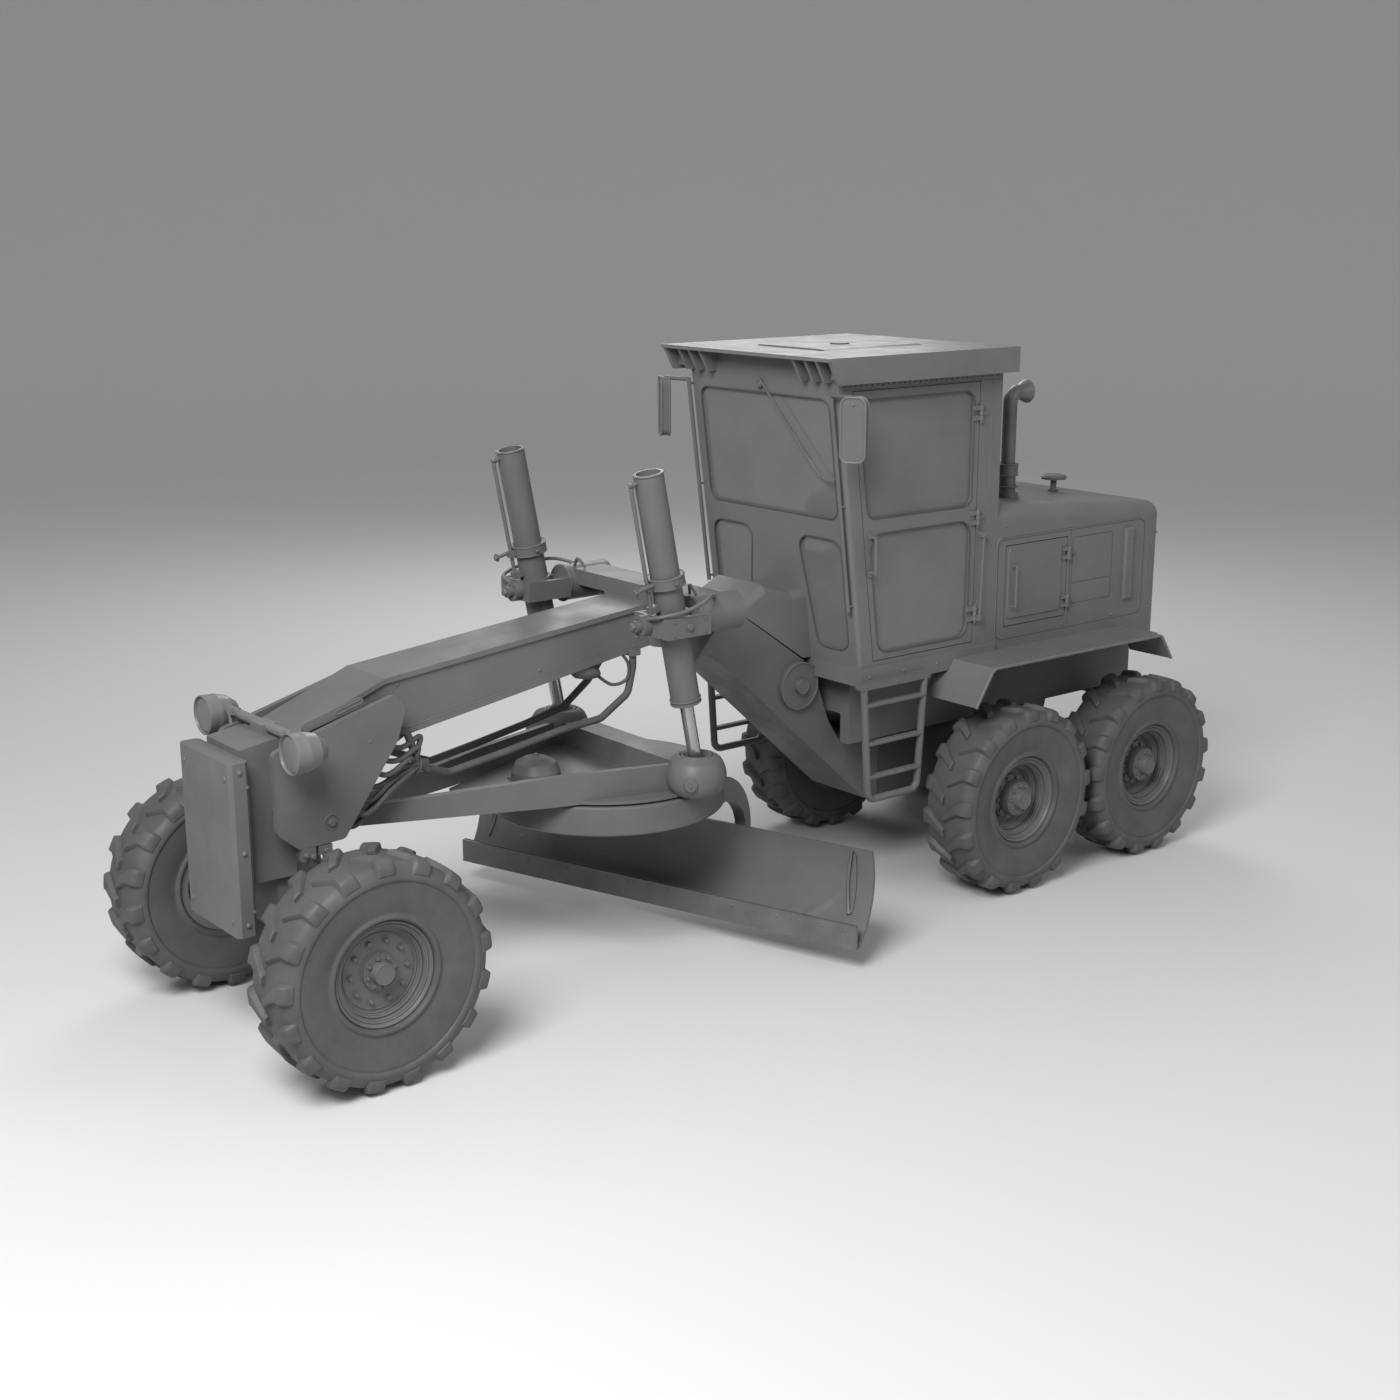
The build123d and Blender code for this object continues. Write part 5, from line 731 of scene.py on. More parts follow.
def carrier_parts():
    """Nuts and pins on the cylinder carrier and the pipes over its tubes, drawn from its pivots' line."""
    over = [(0.7, -0.185, 0.045), (0.8, -0.17, 0.07), (0.862, -0.06, 0.095), (0.858, 0.08, 0.125),
            (0.8, 0.19, 0.142), (0.73, 0.26, 0.13), (0.69, 0.3, 0.108)]
    strut = [(0.61, 0.24, 0.115), (0.56, 0.23, 0.17), (0.52, 0.26, 0.112)]
    return both_sides([
        bolts((0.65, -0.245, 0), AHEAD, 0.024, 0.026),
        bolts(around((0.65, -0.21, 0), 0.047, 6, BACK), AHEAD, 0.007, 0.006),
        bolts((0.845, 0, 0), LEFT, 0.022, 0.016),
        bolts([(0.8455, y, z) for y in (-0.11, 0.11) for z in (-0.04, 0.04)], LEFT, 0.008, 0.007),
        bead((0.65, 0.494, 0.01), 0.108, 0.006, BACK),
        bead((0.65, 0.165, 0.01), 0.112, 0.007, BACK),
        pipe(over, 0.011, 10, UP),
        bolts((0.686, 0.305, 0.108), UP, 0.016, 0.022),
        pipe(strut, 0.009, 10, BACK),
    ])


def barrel_parts():
    """Clamp bands, gland rings, bolts and pipe end of the left lift barrel, drawn from the pivots' line."""
    lean = np.arctan2(0.174, 0.89)
    down = np.array([0.0, np.sin(lean), -np.cos(lean)])
    ahead = np.array([0.0, -np.cos(lean), -np.sin(lean)])

    def at(x, forward, rise):
        """A place beside, ahead of and up the barrel from its pivot."""
        return ahead * forward - down * rise + (BARREL_X + x, 0, 0)

    rings = ((0.228, 0.1085), (0.284, 0.1085), (-0.492, 0.0875), (-0.468, 0.0885), (0.884, 0.087))
    return [
        *(bead(at(0, 0, rise), radius, 0.005, down, 40) for rise, radius in rings),
        bolts([at(0.118, 0.012, 0.256), at(-0.118, 0.012, 0.256)], ahead, 0.01, 0.016),
        bolts(at(0, 0.132, 0.848), -down, 0.014, 0.014),
        tube([at(0.02, 0.09, 0.262), at(0.02, 0.15, 0.262), at(0.02, 0.23, 0.258)], 0.012),
        bolts(at(0.02, 0.226, 0.258), ahead, 0.018, 0.016),
    ]


def cup_shell(place):
    """The cast cup round a lift rod's ball: a smooth profile that grows towards the front outer corner.

    Below the collar the radius is r(z) (1 + growth c^2), where c is the cosine of the angle from that corner,
    or nothing where that is negative.
    """
    sides, collar, corner, growth = 72, 0.215, radians(-48), 0.16
    curve = smooth_path([(0.098, 0.231), (0.112, 0.2325), (0.148, 0.205), (0.172, 0.15), (0.178, 0.1),
                         (0.168, 0.05), (0.14, 0.012), (0.118, 0.002)], 5)
    radius, z = curve.T
    angle = np.linspace(0, 2 * np.pi, sides, endpoint=False)[:, None]
    lobe = 1 + growth * np.clip(np.cos(angle - corner), 0, 1) ** 2
    radius = radius * np.where(z > collar, 1.0, lobe)
    points = rows_of(radius * np.cos(angle), radius * np.sin(angle), z).reshape(-1, 3)
    return points + place, grid_faces(sides, len(curve), close_rows=True)


def drawbar_parts():
    """The dome's weld lines and bolts, and the ball cups with their caps, drawn from the middle axle."""
    outer = (0.67, -0.74, 0)
    cap = [(0.0, 0.0), (0.0, 0.04), (0.016, 0.04), (0.024, 0.033), (0.025, 0.0)]
    return [
        bead((0, DOME_Y, 1.112), 0.153, 0.006, UP, 48),
        bead((0, DOME_Y, 1.262), 0.036, 0.005, UP, 24),
        bolts((0, DOME_Y, 1.265), UP, 0.016, 0.014),
        bolts(around((0, DOME_Y, 1.109), 0.175, 10), UP, 0.01, 0.01),
        *both_sides([
            cup_shell((BARREL_X, CUP_Y, 1.075)),
            bead((BARREL_X, CUP_Y, 1.304), 0.088, 0.006),
            turned_piece(cap, (BARREL_X + 0.133, CUP_Y - 0.148, 1.175), outer),
            bolts((BARREL_X + 0.148, CUP_Y - 0.165, 1.175), outer, 0.013, 0.009),
        ]),
    ]


def blade_face(z):
    """Y of the blade's hollow front at heights: the circle through its foot, belly and top edge."""
    low, belly, top = np.array([0.297, 0.15]), np.array([0.4665, 0.435]), np.array([0.446, 0.72])
    rows = np.stack([belly - low, top - low])
    centre = np.linalg.solve(2 * rows, (np.stack([belly, top]) ** 2).sum(1) - (low**2).sum())
    return centre[0] + np.sqrt(((low - centre) ** 2).sum() - (np.asarray(z) - centre[1]) ** 2)


def blade_parts():
    """Curved weld beads near both ends of the blade, its rivets and the edge's plough bolts.

    They are drawn square to the blade, then turned with the circle about its upright axis.
    """
    z = np.linspace(0.312, 0.706, 24)
    rise = (z - z[0]) / (z[-1] - z[0])
    parts = [tube(rows_of(x + lean * np.sin(np.pi * rise), blade_face(z) - 0.007, z), 0.011)
             for x, lean in ((-1.285, 0.03), (1.47, -0.034))]
    for x, z, direction, radius, height in (
        (np.arange(9) * 0.135 - 1.29, np.full(9, 0.345), (0, -1, 0.3), 0.011, 0.007),
        (np.array([0.28, 0.62, 0.96, 1.26]), np.array([0.52, 0.505, 0.52, 0.5]), AHEAD, 0.007, 0.004),
    ):
        parts.append(studs(rows_of(x, blade_face(z) + 0.001, z), direction, radius, height))
    parts.append(studs(rows_of(np.arange(19) * 0.158 - 1.322, 0.279, 0.262), AHEAD, 0.01, 0.005))
    parts.append(tube([(-1.395, 0.3005, 0.3015), (1.595, 0.3005, 0.3015)], 0.0035, 8, UP))
    cos, sin = np.cos(BLADE_TURN), np.sin(BLADE_TURN)
    turn = np.array([(cos, sin, 0), (-sin, cos, 0), (0, 0, 1)])
    return [(vertices @ turn, faces) for vertices, faces in parts]


# Cab, hood, ladders and fenders, drawn from the middle axle


def cab_front(z, out=0.0):
    """Y of the leaning front plane at a height, moved forward."""
    return -1.17 - 0.23 * (np.asarray(z) - 1.625) / 1.765 - out


def door_seals():
    """Seals of the left door's two windows."""
    parts = []
    for low, high, radius in ((2.56, 3.29, 0.07), (1.705, 2.465, 0.095)):
        front_low, front_high, rear = cab_front(low) + 0.162, cab_front(high) + 0.162, -0.217
        corners = ((front_low, low), (rear, low), (rear, high), (front_high, high))
        parts.append(seal([(DOOR_X, y, z) for y, z in corners], radius, SEAL, LEFT))
    return parts


def fixed_seals():
    """Seals of the front and rear windows."""
    # low z, high z, low and high x at the foot, low and high x at the head, corner
    rows = (
        (2.56, 3.3, -0.61, 0.61, -0.61, 0.61, 0.07),
        (1.72, 2.43, 0.33, 0.615, 0.215, 0.615, 0.085),
        (1.72, 2.43, -0.615, -0.33, -0.615, -0.215, 0.085),
    )
    parts = []
    for low, high, foot_a, foot_b, head_a, head_b, radius in rows:
        near, far = cab_front(low, 0.0005), cab_front(high, 0.0005)
        outline = [(foot_a, near, low), (foot_b, near, low), (head_b, far, high), (head_a, far, high)]
        parts.append(seal(outline, radius, SEAL, BACK))
    rear = [(x, 0.0405, z) for x, z in oblong(-0.56, 0.56, 2.64, 3.29)]
    parts.append(seal(rear, 0.07, SEAL, BACK))
    return parts


def wiper_parts():
    """The front window's wiper rod and its pivot."""
    rod = [(0.0, -1.428, 3.405), (0.24, -1.393, 3.13), (0.47, -1.358, 2.868), (0.54, -1.352, 2.815),
           (0.625, -1.346, 2.803)]
    pivot = [(0.0, 0.0), (0.0, 0.024), (0.018, 0.024), (0.026, 0.018), (0.027, 0.0)]
    return [pipe(rod, 0.0058, 8, BACK), turned_piece(pivot, (0.0, -1.399, 3.352), AHEAD)]


def cab_trim():
    """Rails, bands, seams and studs on both sides of the cab."""
    wall = 0.6995
    left = [tube([(0.742, -0.147, 1.815), (0.742, -0.129, 2.379)], 0.0075)]
    for y, z in ((-0.129, 2.37), (-0.147, 1.824)):
        left.append(slab((wall, y - 0.012, z - 0.018), (0.752, y + 0.012, z + 0.018)))
        left.append(studs((0.7515, y, z), LEFT, 0.007, 0.004))
    teeth = [(wall, y, 3.372) for y in np.arange(-1.345, 0.02, 0.046)]
    post = [(wall, cab_front(z, -0.045), z) for z in np.arange(1.72, 2.5, 0.045)]
    floor = [(0.7175, y, 1.565) for y in (-1.1, -0.8, -0.5, -0.2)]
    fascia = [(0.7965, y, 3.415) for y in (-1.3, -0.9, -0.45, 0.02)]
    front = [(x, cab_front(3.335, -0.0005), 3.335) for x in (0.28, 0.6)]
    return both_sides([
        *left,
        tube([(0.7, -0.052, 1.64), (0.7, -0.052, 3.34)], SEAM, 6),
        tube([(0.7, -1.36, 3.352), (0.7, 0.035, 3.352)], SEAM, 6),
        studs(teeth, LEFT, 0.01, 0.006),
        studs(post, LEFT, 0.005, 0.003),
        studs(floor, LEFT, 0.01, 0.006),
        studs(fascia, LEFT, 0.007, 0.004),
        studs(front, AHEAD, 0.007, 0.004),
        bead((0.2785, -1.29, 1.455), 0.15, 0.006, LEFT, 32),
        bead((0.3095, -1.29, 1.455), 0.044, 0.004, LEFT, 32),
    ])


def mirror_frames():
    """The rolled rims round the front and back of each mirror, and its bolt."""
    centre = np.array([0.905, -1.455, 3.15])
    across = np.array([0.87, 0.5, 0.0]) / np.hypot(0.87, 0.5)
    ahead = np.cross(UP, across) * -1
    corner = np.array(oblong(-0.075, 0.075, -0.19, 0.19))
    outline = centre + corner[:, :1] * across + corner[:, 1:] * UP
    parts = [seal(outline + ahead * shift, 0.045, 0.0075, ahead) for shift in (-0.026, 0.026)]
    parts.append(bolts(centre + ahead * 0.026 + (0, 0, 0.15), ahead, 0.01, 0.008))
    return both_sides(parts)


def hood_trim():
    """Studs, hinge bolts, drip rails, slots, the grille's frame, and the rings of the cap and the exhaust."""
    dots = [(0.13, 2.395), (0.052, 1.66), (1.64, 1.66), (1.69, 2.19), (1.186, 1.905), (0.72, 1.655),
            (1.24, 1.655)]
    front = [(HOOD_X, 0.051, 1.62), (HOOD_X, 0.051, 2.322), (HOOD_X, 0.5, 2.322)]
    arc = np.linspace(0, np.pi / 2, 14)
    rear = rows_of(HOOD_X, 1.452 + 0.15 * np.sin(arc), 2.172 + 0.15 * np.cos(arc))
    rail = [*corners_rounded(front, 0.05, closed=False), *rear, (HOOD_X, 1.602, 1.62)]
    scoop = HOOD_X + 0.026
    stack_x, stack_y, cap_y, grille_y = 0.3, 0.56, 1.385, 1.7725
    grille = [(x, grille_y, z) for x, z in oblong(-0.44, 0.44, 1.63, 2.25)]
    return [
        *both_sides([
            studs([(HOOD_X, y, z) for y, z in dots], LEFT, 0.011, 0.007),
            tube(rail, 0.0055, 8),
            bolts([(0.7135, 0.78, z) for z in (1.82, 2.15)], LEFT, 0.007, 0.006),
            studs([(scoop, y, z) for y in (1.35, 1.41) for z in (1.775, 2.235)], LEFT, 0.006, 0.003),
            *(slab((scoop + 0.0002, 1.345, z), (scoop + 0.003, 1.415, z + 0.01))
              for z in np.arange(1.8, 2.21, 0.035)),
        ]),
        seal(grille, 0.03, 0.01, BACK),
        bead((0, cap_y, 2.533), 0.088, 0.005),
        bead((0, cap_y, 2.44), 0.032, 0.007),
        *(bead((stack_x, stack_y, z), radius, 0.005)
          for z, radius in ((2.65, 0.07), (2.725, 0.07), (2.576, 0.077))),
        bolts(around((stack_x, stack_y, 2.569), 0.066, 6), UP, 0.007, 0.008),
    ]


def door_trim():
    """The seal round the engine door's raised panel and the feet of its handles."""
    outline = [(0.699, y, z) for y, z in oblong(0.162, 0.679, 1.77, 2.235)]
    feet = [slab((0.7065, 0.188, z - 0.02), (0.715, 0.212, z + 0.02)) for z in (1.85, 2.12)]
    return [seal(outline, 0.03, 0.006, LEFT), *feet]


def ladder_parts():
    """Raised tread studs on the ladders' steps and the tubes' end caps."""
    left = [
        studs([(x, y, z + 0.0125) for y in np.arange(-1.06, -0.76, 0.03)], UP, 0.006, 0.003)
        for z in (0.929, 1.149, 1.4) for x in (0.772, 0.752)
    ]
    left.append(studs([(0.785, y, 1.526) for y in (-1.19, -0.92, -0.66)], LEFT, 0.009, 0.006))
    return both_sides(left)


def fender_parts():
    """Bolts along the fenders' inner edges."""
    y = np.linspace(-0.3, 1.29, 8)
    z = np.interp(y, [-0.35, 1.33], [1.577, 1.563])
    return both_sides([bolts(rows_of(0.76, y, z), UP, 0.008, 0.007)])


# Seat, drawn from its foot


def points_of(mesh, field="co"):
    """The places of a mesh's points, or their normals, as rows."""
    values = np.empty(3 * len(mesh.vertices))
    mesh.vertices.foreach_get(field, values)
    return values.reshape(-1, 3)


def shown(piece):
    """The piece as its modifiers make it."""
    return piece.evaluated_get(bpy.context.evaluated_depsgraph_get())


def baked(piece):
    """Swaps a piece's mesh for what its modifiers make of it, and takes them off."""
    piece.data = bpy.data.meshes.new_from_object(shown(piece))
    piece.modifiers.clear()


def blown_up(piece, cap):
    """A closed mesh's points swollen by Cloth under pressure, each moved by the cap at most."""
    start = points_of(piece.data)
    cloth = piece.modifiers.new("air", "CLOTH")
    cloth.settings.use_pressure = True
    cloth.settings.uniform_pressure_force = AIR_PRESSURE
    cloth.settings.effector_weights.gravity = 0
    for number in range(1, AIR_STEPS + 1):
        bpy.context.scene.frame_set(number)
    moved_by = points_of(shown(piece).data) - start
    piece.modifiers.clear()
    bpy.context.scene.frame_set(1)
    far = np.maximum(np.linalg.norm(moved_by, axis=1, keepdims=True), 1e-9)
    return start + moved_by * np.minimum(1, cap / far)


def cushion(name, block, low, high, channels, cap):
    """A padded block: rounded, remeshed, blown up, kept in its solid's box, then sewn.

    Each channel is (axis, place, depth axis, sign, depth): a point at distance d from it sinks by
    depth exp(-(d / SEAM_REACH)^2) times the share of its normal that faces the channel.
    """
    mesh = bpy.data.meshes.new(name)
    mesh.from_pydata(block[0].tolist(), [], block[1])
    piece = new_object(name, mesh)
    edges = piece.modifiers.new("edges", "BEVEL")
    edges.width, edges.segments = CUSHION_ROUNDING, 4
    cells = piece.modifiers.new("cells", "REMESH")
    cells.mode, cells.voxel_size = "VOXEL", CUSHION_CELL
    baked(piece)
    points = np.clip(blown_up(piece, cap), low, high)
    piece.data.vertices.foreach_set("co", points.ravel())
    finer = piece.modifiers.new("finer", "SUBSURF")
    finer.levels = finer.render_levels = 1
    baked(piece)
    points, normals = points_of(piece.data), points_of(piece.data, "normal")
    for axis, place, inward, sign, depth in channels:
        facing = np.clip(normals[:, inward] * sign, 0, 1)
        share = (points[:, axis] - place) / SEAM_REACH
        points[:, inward] -= sign * facing * depth * np.exp(-(share**2))
    piece.data.vertices.foreach_set("co", points.ravel())
    shade_smooth(piece.data)
    piece.data.update()
    piece.data.materials.clear()
    piece.data.materials.append(finishes()["seat_cover"])
    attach(piece, "frame")
    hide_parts("operator_seat")
    return points


def piping(points, corners, radius, up):
    """A sewn bead round a cushion: a rounded outline, each point of it drawn to the cushion's nearest one."""
    outline = corners_rounded(corners, radius, steps=9)
    sides = zip(outline, np.roll(outline, -1, axis=0))
    outline = np.concatenate([np.linspace(a, b, 12, endpoint=False) for a, b in sides])
    apart = ((outline[:, None] - points[None]) ** 2).sum(axis=2)
    near = points[apart.argmin(axis=1)]
    for _ in range(6):
        near = (np.roll(near, 1, axis=0) + near + np.roll(near, -1, axis=0)) / 3
    keep = np.linspace(0, len(near), 120, endpoint=False).astype(int)
    return tube(near[keep], PIPING, 8, up, closed=True)


def seat_base_parts():
    """The seat's bellows, its slide rails, the two straps that carry the backrest and the slide's lever.

    The bellows' outline is a rounded square times 1 - 0.05 (1 - cos(2 pi 5 h)) / 2, where h runs from 0 to 1
    upwards.
    """
    corner = corners_rounded([(x, y, 0) for x, y in oblong(-0.198, 0.198, -0.198, 0.198)], 0.04)
    h = np.linspace(0, 1, 41)
    waist = 1 - 0.05 * (1 - np.cos(2 * np.pi * 5 * h)) / 2
    rings = corner * waist[:, None, None] + rows_of(0, 0, 0.03 + 0.205 * h)[:, None]
    return [
        (rings.reshape(-1, 3), grid_faces(len(h), len(corner), close_columns=True)),
        slab((-0.2, -0.2, 0), (0.2, 0.2, 0.032)),
        slab((-0.205, -0.215, 0.234), (0.205, 0.205, 0.279)),
        *(pipe([(x, 0.15, 0.262), (x, 0.235, 0.3), (x, 0.262, 0.48), (x, 0.28, 0.7)], 0.011)
          for x in (-0.165, 0.165)),
        pipe([(0.205, -0.12, 0.255), (0.235, -0.16, 0.262), (0.236, -0.225, 0.268)], 0.006, 8, UP),
    ]


def seat_cushion(y, z):
    """Builds the seat's cushion and returns its piping."""
    block = slab((-0.224, y - 0.234, z + 0.286), (0.224, y + 0.204, z + 0.396))
    low, high = (-0.24, y - 0.25, z + 0.2795), (0.24, y + 0.22, z + 0.41)
    channels = [(1, y - 0.13, 2, 1, 0.007), (1, y + 0.06, 2, 1, 0.007),
                (0, -0.13, 2, 1, 0.006), (0, 0.13, 2, 1, 0.006)]
    points = cushion("seat_cushion", block, low, high, channels, 0.022)
    rim = [(x, along, z + 0.345) for x, along in oblong(-0.236, 0.236, y - 0.246, y + 0.216)]
    return piping(points, rim, 0.045, UP)


def seat_backrest(y, z):
    """Builds the seat's leaning backrest and returns its piping."""
    corners, faces = slab((-0.208, 0.0, z + 0.432), (0.208, 1.0, z + 0.986))
    rise = (corners[:, 2] - z - 0.38) / 0.62
    front, rear = y + 0.142 + 0.085 * rise, y + 0.222 + 0.05 * rise
    corners[:, 1] = np.where(corners[:, 1] > 0.5, rear, front)
    low, high = (-0.225, y + 0.128, z + 0.418), (0.225, y + 0.284, z + 1.0)
    channels = [(2, z + 0.6, 1, -1, 0.007), (2, z + 0.79, 1, -1, 0.007),
                (0, -0.12, 1, -1, 0.006), (0, 0.12, 1, -1, 0.006)]
    points = cushion("seat_backrest", (corners, faces), low, high, channels, 0.016)
    rim = [(x, y + dy, z + dz) for x, dy, dz in (
        (-0.222, 0.19, 0.425), (0.222, 0.19, 0.425), (0.222, 0.25, 0.995), (-0.222, 0.25, 0.995),
    )]
    return piping(points, rim, 0.05, BACK)


# Operators


class GRADER_OT_stage(bpy.types.Operator):
    """Makes the camera, the pale floor and the soft studio lights."""

    bl_idname = "grader.stage"
    bl_label = "Studio"

    def execute(self, context):
        scene = context.scene
        scene.view_settings.view_transform = "Standard"
        scene.camera = new_object("camera", bpy.data.cameras.new("camera"))
        scene.camera.location = (9.235, -7.6065, 4.451)
        scene.camera.rotation_euler = (radians(75.61), 0, radians(51.03))
        scene.camera.data.lens = 50
        scene.camera.data.sensor_width = 36
        # a flat floor whose edge bends up in a quarter circle to a wall all round
        reach, bend = 24, 12
        turn = np.linspace(0, np.pi / 2, 25)
        rise = rows_of(bend - bend * np.cos(turn), reach + bend * np.sin(turn))
        points, faces = spun(np.concatenate([[(0, 0.01)], rise]), 96)
        floor = bpy.data.meshes.new("floor")
        floor.from_pydata(turned_to(points, UP).tolist(), [], faces.tolist())
        shade_smooth(floor)
        ground = new_object("floor", floor)
        material, _, shader, _ = node_finish("studio_floor")
        shader.inputs["Base Color"].default_value = (*grey(0.64), 1)
        shader.inputs["Roughness"].default_value = 0.8
        floor.materials.append(material)
        scene.world = bpy.data.worlds.new("studio")
        scene.world.use_nodes = True
        back = scene.world.node_tree.nodes["Background"]
        back.inputs["Color"].default_value = (*grey(0.9), 1)
        back.inputs["Strength"].default_value = 0.42
        # name, size, power, place, turn in degrees
        lamps = (
            ("key", 5.0, 1400, (5.0, -8.0, 9.0), (42, 0, 32)),
            ("fill", 8.0, 200, (10.0, 4.0, 6.0), (60, 0, 110)),
            ("rim", 6.0, 380, (-8.0, 6.0, 8.0), (-48, 0, 50)),
        )
        for name, size, power, spot, turn in lamps:
            lamp = bpy.data.lights.new(name, "AREA")
            lamp.size = size
            lamp.energy = power
            holder = new_object(name, lamp)
            holder.location = spot
            holder.rotation_euler = [radians(angle) for angle in turn]
        return {"FINISHED"}


class GRADER_OT_finishes(bpy.types.Operator):
    """Gives every CAD node the finish that the record's slot names."""

    bl_idname = "grader.finishes"
    bl_label = "Finishes"

    def execute(self, context):
        by_slot = finishes()
        for row in frame["record"]["subparts"]:
            node = frame["nodes"][row["node"]]
            node.data.materials.clear()
            node.data.materials.append(by_slot[row["material_slot"]])
        return {"FINISHED"}


class GRADER_OT_tyres(bpy.types.Operator):
    """Builds the six tyres with their lugs over the plain CAD tyres."""

    bl_idname = "grader.tyres"
    bl_label = "Tyres"

    def execute(self, context):
        for name, side, x, y, _ in WHEELS:
            build_tyre(name, side, x, y)
        return {"FINISHED"}


class GRADER_OT_rims(bpy.types.Operator):
    """Adds the beads, wheel bolts and hub bolts of the six rims."""

    bl_idname = "grader.rims"
    bl_label = "Rim fittings"

    def execute(self, context):
        for name, side, x, y, front in WHEELS:
            parts = rim_parts(front)
            if side < 0:
                parts = [mirrored(part) for part in parts]
            fitting(f"rim_fittings_{name}", parts, f"wheel_{name}", "rim_paint", (side * x, y, AXLE_Z))
        return {"FINISHED"}


class GRADER_OT_nose(bpy.types.Operator):
    """Adds bolts, lamp rims, lenses and the hose bundle of the nose."""

    bl_idname = "grader.nose"
    bl_label = "Nose fittings"

    def execute(self, context):
        fitting("push_block_bolts", push_block_parts(), "frame", "frame_paint", FRONT_AXLE)
        fitting("nose_fittings", nose_parts(), "frame", "frame_paint", FRONT_AXLE)
        fitting("lamp_rims", lamp_rims(), "frame", "lamp_shell", FRONT_AXLE)
        fitting("lamp_lenses", lamp_lenses(), "frame", "lamp_shell", FRONT_AXLE)
        fitting("nose_hoses", nose_hoses(), "frame", "hose_rubber", FRONT_AXLE)
        return {"FINISHED"}


class GRADER_OT_beam(bpy.types.Operator):
    """Adds weld beads, studs, the tongue and its hose loop to the front beam."""

    bl_idname = "grader.beam"
    bl_label = "Beam fittings"

    def execute(self, context):
        fitting("beam_fittings", beam_parts(), "frame", "frame_paint", FRONT_AXLE)
        fitting("beam_hose_loops", beam_loop(), "frame", "hose_rubber", MID_AXLE)
        return {"FINISHED"}


class GRADER_OT_lift(bpy.types.Operator):
    """Adds nuts, clamps and pipes to the lift gear."""

    bl_idname = "grader.lift"
    bl_label = "Lift fittings"

    def execute(self, context):
        fitting("carrier_fittings", carrier_parts(), "frame", "frame_paint", CARRIER)
        fitting_pair("barrel_fittings", barrel_parts(), "lift_barrel", "frame_paint", CARRIER)
        return {"FINISHED"}


class GRADER_OT_work_gear(bpy.types.Operator):
    """Adds weld beads, rivets and bolts to the drawbar and the blade."""

    bl_idname = "grader.work_gear"
    bl_label = "Work gear fittings"

    def execute(self, context):
        fitting("drawbar_fittings", drawbar_parts(), "drawbar", "frame_paint", MID_AXLE)
        fitting("blade_fittings", blade_parts(), "blade", "bare_steel", CIRCLE)
        return {"FINISHED"}


class GRADER_OT_cab(bpy.types.Operator):
    """Adds window seals, wiper, rails, seams and mirror rims to the cab."""

    bl_idname = "grader.cab"
    bl_label = "Cab fittings"

    def execute(self, context):
        fitting_pair("door_seals", door_seals(), "cab_door", "hose_rubber", MID_AXLE)
        fitting("window_seals", fixed_seals(), "frame", "hose_rubber", MID_AXLE)
        fitting("wiper", wiper_parts(), "frame", "bare_steel", MID_AXLE)
        fitting("cab_trim", cab_trim(), "frame", "body_paint", MID_AXLE)
        fitting("mirror_rims", mirror_frames(), "frame", "body_paint", MID_AXLE)
        return {"FINISHED"}


class GRADER_OT_seat(bpy.types.Operator):
    """Builds the operator's seat: bellows base, blown-up cushion and backrest, and their piping."""

    bl_idname = "grader.seat"
    bl_label = "Seat"

    def execute(self, context):
        base = fitting("seat_base", seat_base_parts(), "frame", "console_plastic", SEAT_FOOT)
        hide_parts("operator_seat")
        trim = [seat_cushion(*SEAT_FOOT[1:]), seat_backrest(*SEAT_FOOT[1:])]
        fitting("seat_piping", trim, "frame", "seat_cover")
        return {"FINISHED"}


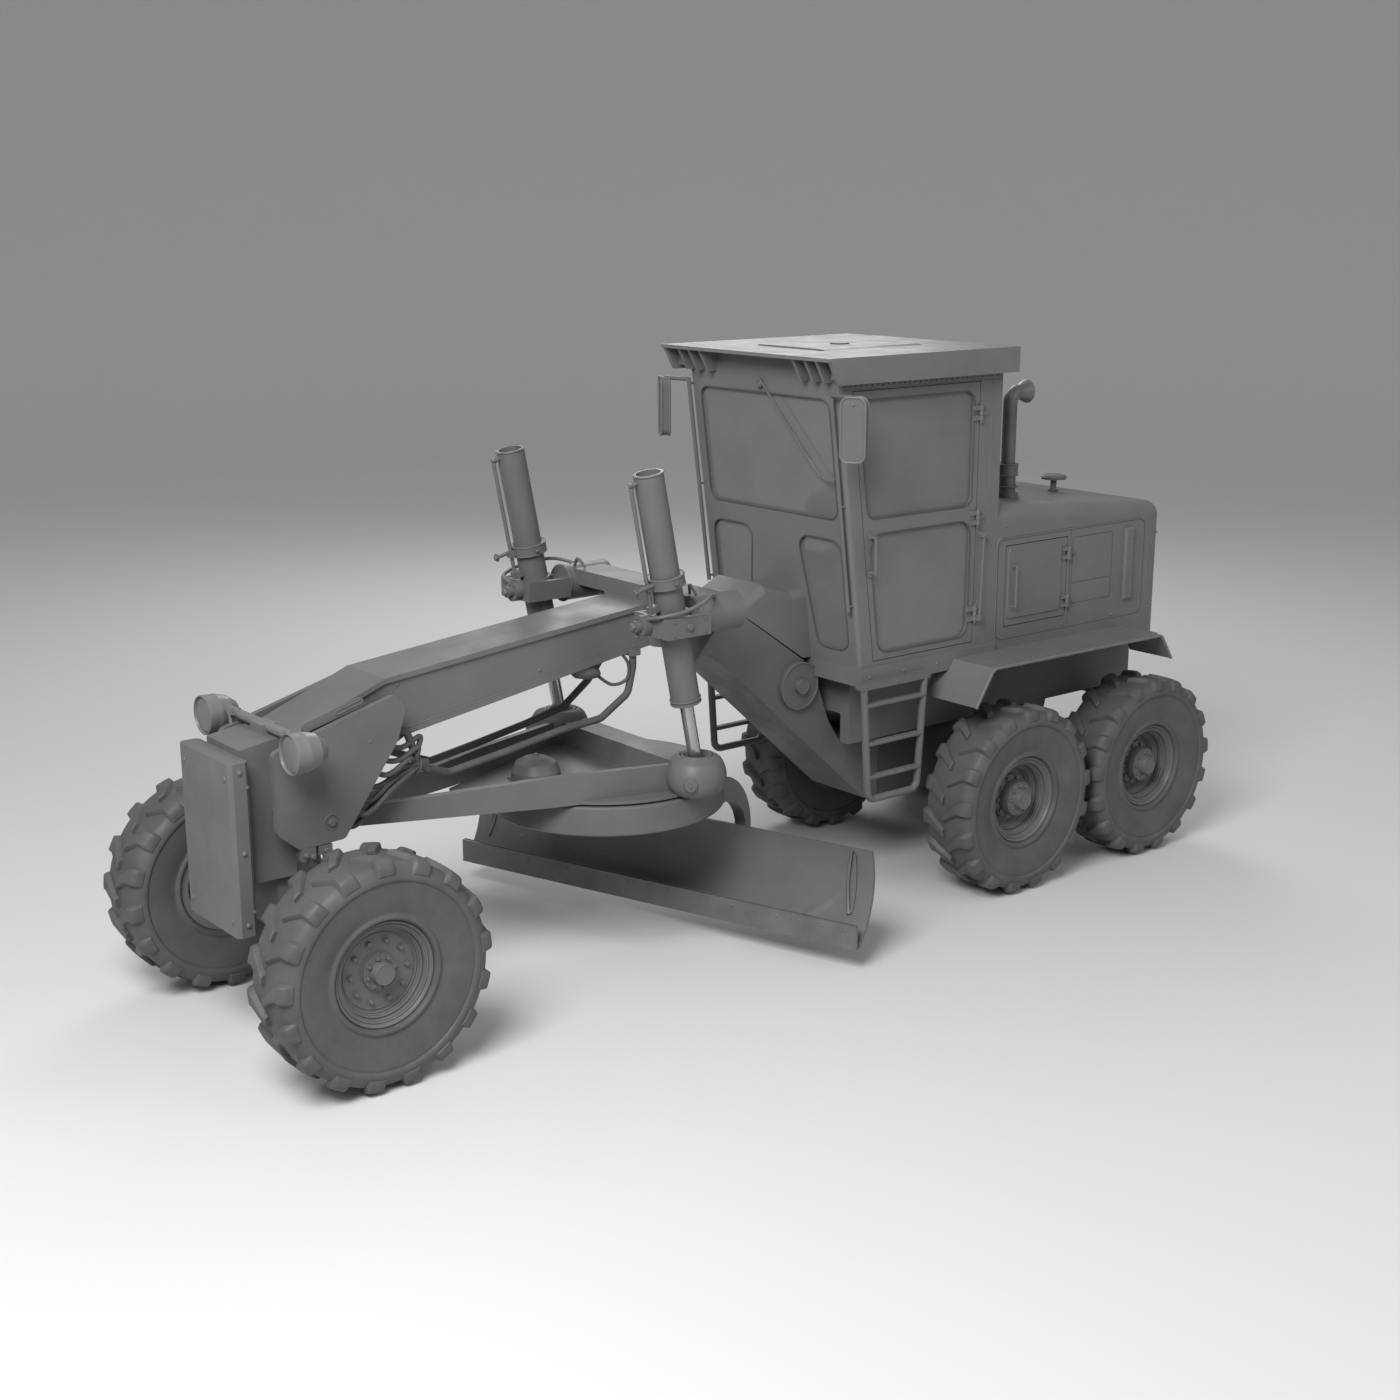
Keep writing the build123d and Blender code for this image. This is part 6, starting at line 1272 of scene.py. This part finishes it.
class GRADER_OT_hood(bpy.types.Operator):
    """Adds studs, seals, the grille's frame and ladder treads to the rear body."""

    bl_idname = "grader.hood"
    bl_label = "Hood fittings"

    def execute(self, context):
        fitting("hood_fittings", hood_trim(), "frame", "body_paint", MID_AXLE)
        fitting_pair("hood_door_trim", door_trim(), "hood_door", "body_paint", MID_AXLE)
        fitting("ladder_treads", ladder_parts(), "frame", "frame_paint", MID_AXLE)
        fitting("fender_bolts", fender_parts(), "frame", "body_paint", MID_AXLE)
        return {"FINISHED"}


class GRADER_PT_panel(bpy.types.Panel):
    """The grader's sizes, colours and builders in the sidebar."""

    bl_idname = "GRADER_PT_panel"
    bl_label = "Motor grader"
    bl_space_type = "VIEW_3D"
    bl_region_type = "UI"
    bl_category = "Grader"

    def draw(self, context):
        for group in (context.scene.grader_sizes, context.scene.grader_colours):
            for field in group.__annotations__:
                self.layout.prop(group, field)
        for operator in OPERATORS:
            self.layout.operator(operator.bl_idname)


OPERATORS = (
    GRADER_OT_stage,
    GRADER_OT_finishes,
    GRADER_OT_tyres,
    GRADER_OT_rims,
    GRADER_OT_nose,
    GRADER_OT_beam,
    GRADER_OT_lift,
    GRADER_OT_work_gear,
    GRADER_OT_cab,
    GRADER_OT_seat,
    GRADER_OT_hood,
)
CLASSES = (GraderSizes, GraderColours, *OPERATORS, GRADER_PT_panel)


def register():
    """Adds the settings, the operators and the panel."""
    for entry in CLASSES:
        bpy.utils.register_class(entry)
    bpy.types.Scene.grader_sizes = bpy.props.PointerProperty(type=GraderSizes)
    bpy.types.Scene.grader_colours = bpy.props.PointerProperty(type=GraderColours)


def unregister():
    """Takes them out again."""
    del bpy.types.Scene.grader_colours
    del bpy.types.Scene.grader_sizes
    for entry in reversed(CLASSES):
        bpy.utils.unregister_class(entry)


def main():
    """Builds every piece."""
    register()
    bpy.ops.grader.stage()
    bpy.ops.grader.finishes()
    bpy.ops.grader.tyres()
    bpy.ops.grader.rims()
    bpy.ops.grader.nose()
    bpy.ops.grader.beam()
    bpy.ops.grader.lift()
    bpy.ops.grader.work_gear()
    bpy.ops.grader.cab()
    bpy.ops.grader.seat()
    bpy.ops.grader.hood()


if __name__ == "__main__":
    main()
